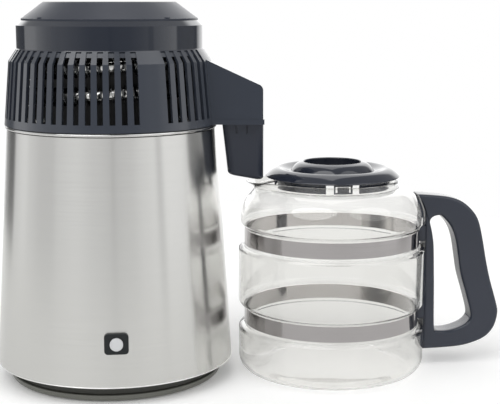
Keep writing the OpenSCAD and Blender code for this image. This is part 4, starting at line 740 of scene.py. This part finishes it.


# The bands: two stainless strips, one in each groove, drawn tight at the handle.
# Their outer faces are painted darker than the inner ones, a painted shade; the inner ones lie on
# the bright glass.
bright_r, shaded_r = 85.8, 86.1
band_steel = brushed("band_steel", (0.55, 0.526, 0.521), (0.61, 0.585, 0.579), 0.12, 0.03)
band_tree = band_steel.node_tree
band_colour = band_tree.nodes["Principled BSDF"].inputs["Base Color"]
band_where = add(band_tree, "ShaderNodeTexCoord").outputs["Object"]
from_axis = add(band_tree, "ShaderNodeVectorMath")
from_axis.operation = "DISTANCE"
from_axis.inputs[1].default_value = (carafe_middle[0] / 1000, carafe_middle[1] / 1000, 0.0)
band_tree.links.new(stretched(band_tree, band_where, (1.0, 1.0, 0.0)), from_axis.inputs[0])
outer_share = ranged(band_tree, from_axis.outputs["Value"], bright_r / 1000, shaded_r / 1000)
# Painted shade: outside the shaded radius the band's colour is multiplied darker
outer_shade = add(band_tree, "ShaderNodeMixRGB", Color2=(0.72, 0.72, 0.73, 1.0))
outer_shade.blend_type = "MULTIPLY"
band_tree.links.new(outer_share, outer_shade.inputs["Fac"])
band_tree.links.new(band_colour.links[0].from_socket, outer_shade.inputs["Color1"])
band_tree.links.new(outer_shade.outputs["Color"], band_colour)
dress(band_steel, "lower_band", "upper_band")


# The handle: one charcoal moulding with rounded edges. Its post lies along the
# glass, and a pad in each groove takes the screw that holds the band.
def evenly(curve, count):
    """Points at equal steps of length along a curve, without its last point."""
    way = np.concatenate([[0.0], np.cumsum(np.linalg.norm(np.diff(curve, axis=0), axis=1))])
    at = np.linspace(0, way[-1], count, endpoint=False)
    return np.stack([np.interp(at, way, curve[:, k]) for k in (0, 1)], axis=-1)


grip_half, grip_round = 12.0, 3.4
# Distances from the carafe's axis and heights: under the grip, up its outer side and
# along its top to the shoulder, then down the post against the glass
grip_outside = through([
    (92.4, 16.8), (114, 17.3), (134, 19), (150.6, 23.9), (160, 29.6), (166.7, 38.8),
    (169.7, 51.8), (168.0, 62), (160.6, 87), (156, 106.6), (151.8, 128), (147.9, 144),
    (143.6, 153.3), (136, 161.8), (127, 168), (114.6, 171.9), (97, 174), (84.7, 174.9),
], 10)
post_r, post_low, post_middle = barrel_r + 0.4, 16.8, 100.0
post_inside = np.concatenate([
    arc(post_r - shoulder_round, shoulder_z, shoulder_round, 42, 0, 12),
    [(post_r, post_middle), (post_r, post_low)],
])
window_line = through([
    (104.2, 38), (107.3, 35.4), (120, 35.6), (133.6, 40), (140.6, 46), (141.4, 52.8),
    (136.5, 71.4), (130.2, 92.7), (127, 111), (123.7, 129), (118.5, 141.8), (109.6, 152),
    (104.6, 153), (99.5, 151), (97.2, 146), (100, 133), (101.8, 119), (103.2, 79),
], 10, closed=True)
window_line = np.vstack([window_line, window_line[:1]])
# Stretches of the outline, the stretches of the window that face them, and their steps
spans = [
    (grip_outside[:51], window_line[:41], 30),
    (grip_outside[50:131], window_line[40:101], 44),
    (grip_outside[130:], window_line[100:141], 26),
    (post_inside, window_line[140:], 40),
]
grip_o = np.concatenate([evenly(o, n) for o, i, n in spans])
grip_i = np.concatenate([evenly(i, n) for o, i, n in spans])
grip_w = np.linalg.norm(grip_i - grip_o, axis=1)[:, None]
grip_r = np.minimum(grip_round, 0.3 * grip_w)
edge, support = np.radians(np.linspace(0, 90, 7)), 1.25
zero, sine, cosine = np.zeros(len(edge)), np.sin(edge), np.cos(edge)
# Round the section: share of the width, edge radius and support line across it, and
# share of the half thickness and edge radius through it
across = np.concatenate([
    np.stack([zero, 1 - cosine, zero + 1, sine - 1], -1),
    [(0.0, support, 1.0, 0.0), (1.0, -support, 1.0, 0.0)],
    np.stack([zero + 1, sine - 1, zero + 1, cosine - 1], -1),
    [(1.0, 0.0, 0.5, 0.0), (1.0, 0.0, -0.5, 0.0)],
    np.stack([zero + 1, cosine - 1, zero - 1, 1 - sine], -1),
    [(1.0, -support, -1.0, 0.0), (0.0, support, -1.0, 0.0)],
    np.stack([zero, 1 - sine, zero - 1, 1 - cosine], -1),
    [(0.0, 0.0, -0.5, 0.0), (0.0, 0.0, 0.5, 0.0)],
])
grip_d = across[:, 0] * grip_w + across[:, 1] * grip_r
grip_y = across[:, 2] * grip_half + across[:, 3] * grip_r
grip_p = grip_o[:, None] + ((grip_i - grip_o) / grip_w)[:, None] * grip_d[..., None]
handle = surface("grip_moulding", np.stack([
    carafe_middle[0] + grip_p[..., 0], carafe_middle[1] + grip_y, grip_p[..., 1],
], axis=-1) / 1000, wrap_u=True, sharp=50)
pad_x, pad_y, pad_ax, pad_ay = cornered([-0.9, 0.0, 0.9])
pad_rows = np.array([
    (86.6, 4.0), (86.6, 1.0), (86.9, 0.3), (87.6, 0.0), (91.0, 0.0), (95.0, 0.0), (95.0, 4.0),
])
pad_r, pad_inset = pad_rows[:, :1], pad_rows[:, 1:]
pad_corner, over_band, inside_grip = 2.0, 0.6, 1.4
pad_half_h = band_h / 2 + over_band - pad_corner
pad_half_w = grip_half - inside_grip - pad_corner
pads = []
for band_name, band_z in (("low", low_band_z), ("high", high_band_z)):
    pad_z = band_z + band_h / 2 + pad_x * (pad_half_h - pad_inset) + pad_ax * pad_corner
    pad_w = pad_y * (pad_half_w - pad_inset) + pad_ay * pad_corner
    reach = np.sqrt(np.clip(pad_r ** 2 - pad_w ** 2, 0.0, None))
    pads.append(surface(f"grip_pad_{band_name}", np.stack([
        carafe_middle[0] + reach, carafe_middle[1] + pad_w, pad_z,
    ], axis=-1) / 1000, sharp=50))
grip_plastic = moulding(
    "grip_plastic", (0.0200, 0.0245, 0.0375), (0.0235, 0.0285, 0.0430), 0.16, 0.02)
for piece in (handle, *pads):
    piece.data.materials.append(grip_plastic)
    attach(piece, "carafe")
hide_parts("carafe_handle")


# The lid: a charcoal moulding with a rounded ring about a hollow knob. Its slit skirt
# hangs in the mouth and snaps there by two tabs; a plug with vents lies in the knob.
lid_top_line = through([
    (30.2, 207.6), (33.4, 206.5), (36.6, 204.3), (39.0, 201.7), (40.4, 199.7), (41.0, 199.0),
    (42.0, 198.9), (44.0, 199.5), (47.0, 200.6), (50.0, 201.6), (53.0, 202.1), (56.0, 201.5),
    (59.0, 200.0), (62.0, 197.8), (64.4, 195.6), (65.5, 194.4), (65.3, 193.6), (64.2, 193.2),
    (62.0, 193.2),
], 6)
lid = revolve("lid_moulding", np.concatenate([
    [(12.0, 192.8), (12.0, 195.2), (27.6, 195.2), (28.0, 195.8), (28.0, 201.0), (28.0, 206.3)],
    arc(29.1, 206.7, 1.2, 172, 55, 7), lid_top_line,
    [(57.2, 193.4), (56.0, 193.4), (54.0, 192.8), (12.0, 192.8)],
]), turns=192, middle=carafe_middle, sharp=40)
skirt_steps, skirt_mid_r = 720, 57.0
tab_half, tab_frame, slit_near, slit_far, lip_gap = 5.3, 7.6, 9.2, 16.2, np.radians(11.3)
skirt_r = np.array([56.2, 56.8, 56.8, 57.4, 57.4, 57.4])[:, None]
skirt_z = np.array([183.3, 184.2, 190.1, 190.9, 192.4, 193.8])[:, None]
sill, lintel, ledge, root = skirt_z[1:5, 0]
skirt_turn = np.linspace(0, 2 * np.pi, skirt_steps, endpoint=False)
face_turn, face_z = skirt_turn + np.pi / skirt_steps, (skirt_z[1:] + skirt_z[:-1]) / 2
# The tabs are at the front and back: each has an open line round three sides, and a slit
# on either hand. The skirt is also open at the lip.
off_tab = np.abs(np.angle(np.exp(2j * (face_turn - np.pi / 2)))) / 2 * skirt_mid_r
at_lip = np.abs(np.angle(-np.exp(1j * face_turn))) < lip_gap
slit = (((off_tab > slit_near) & (off_tab < slit_far)) | at_lip) & (face_z < root)
pane = (off_tab > tab_half) & (off_tab < tab_frame) & (face_z > sill) & (face_z < ledge)
head_gap = (off_tab < tab_frame) & (face_z > lintel) & (face_z < ledge)
skirt = surface("lid_skirt", np.stack(np.broadcast_arrays(
    carafe_middle[0] + skirt_r * np.cos(skirt_turn),
    carafe_middle[1] + skirt_r * np.sin(skirt_turn), skirt_z,
), axis=-1) / 1000, keep=~(slit | pane | head_gap))
wall = skirt.modifiers.new("sheet", "SOLIDIFY")
wall.thickness = 0.0018
wall.offset = -1.0
lid_plastic = moulding(
    "lid_plastic", (0.0170, 0.0205, 0.0310), (0.0200, 0.0240, 0.0360), 0.06, 0.01, 0.7)
for piece in (lid, skirt):
    piece.data.materials.append(lid_plastic)
    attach(piece, "lid")
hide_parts("carafe_lid")
dress(black_resin, "vent_plug")
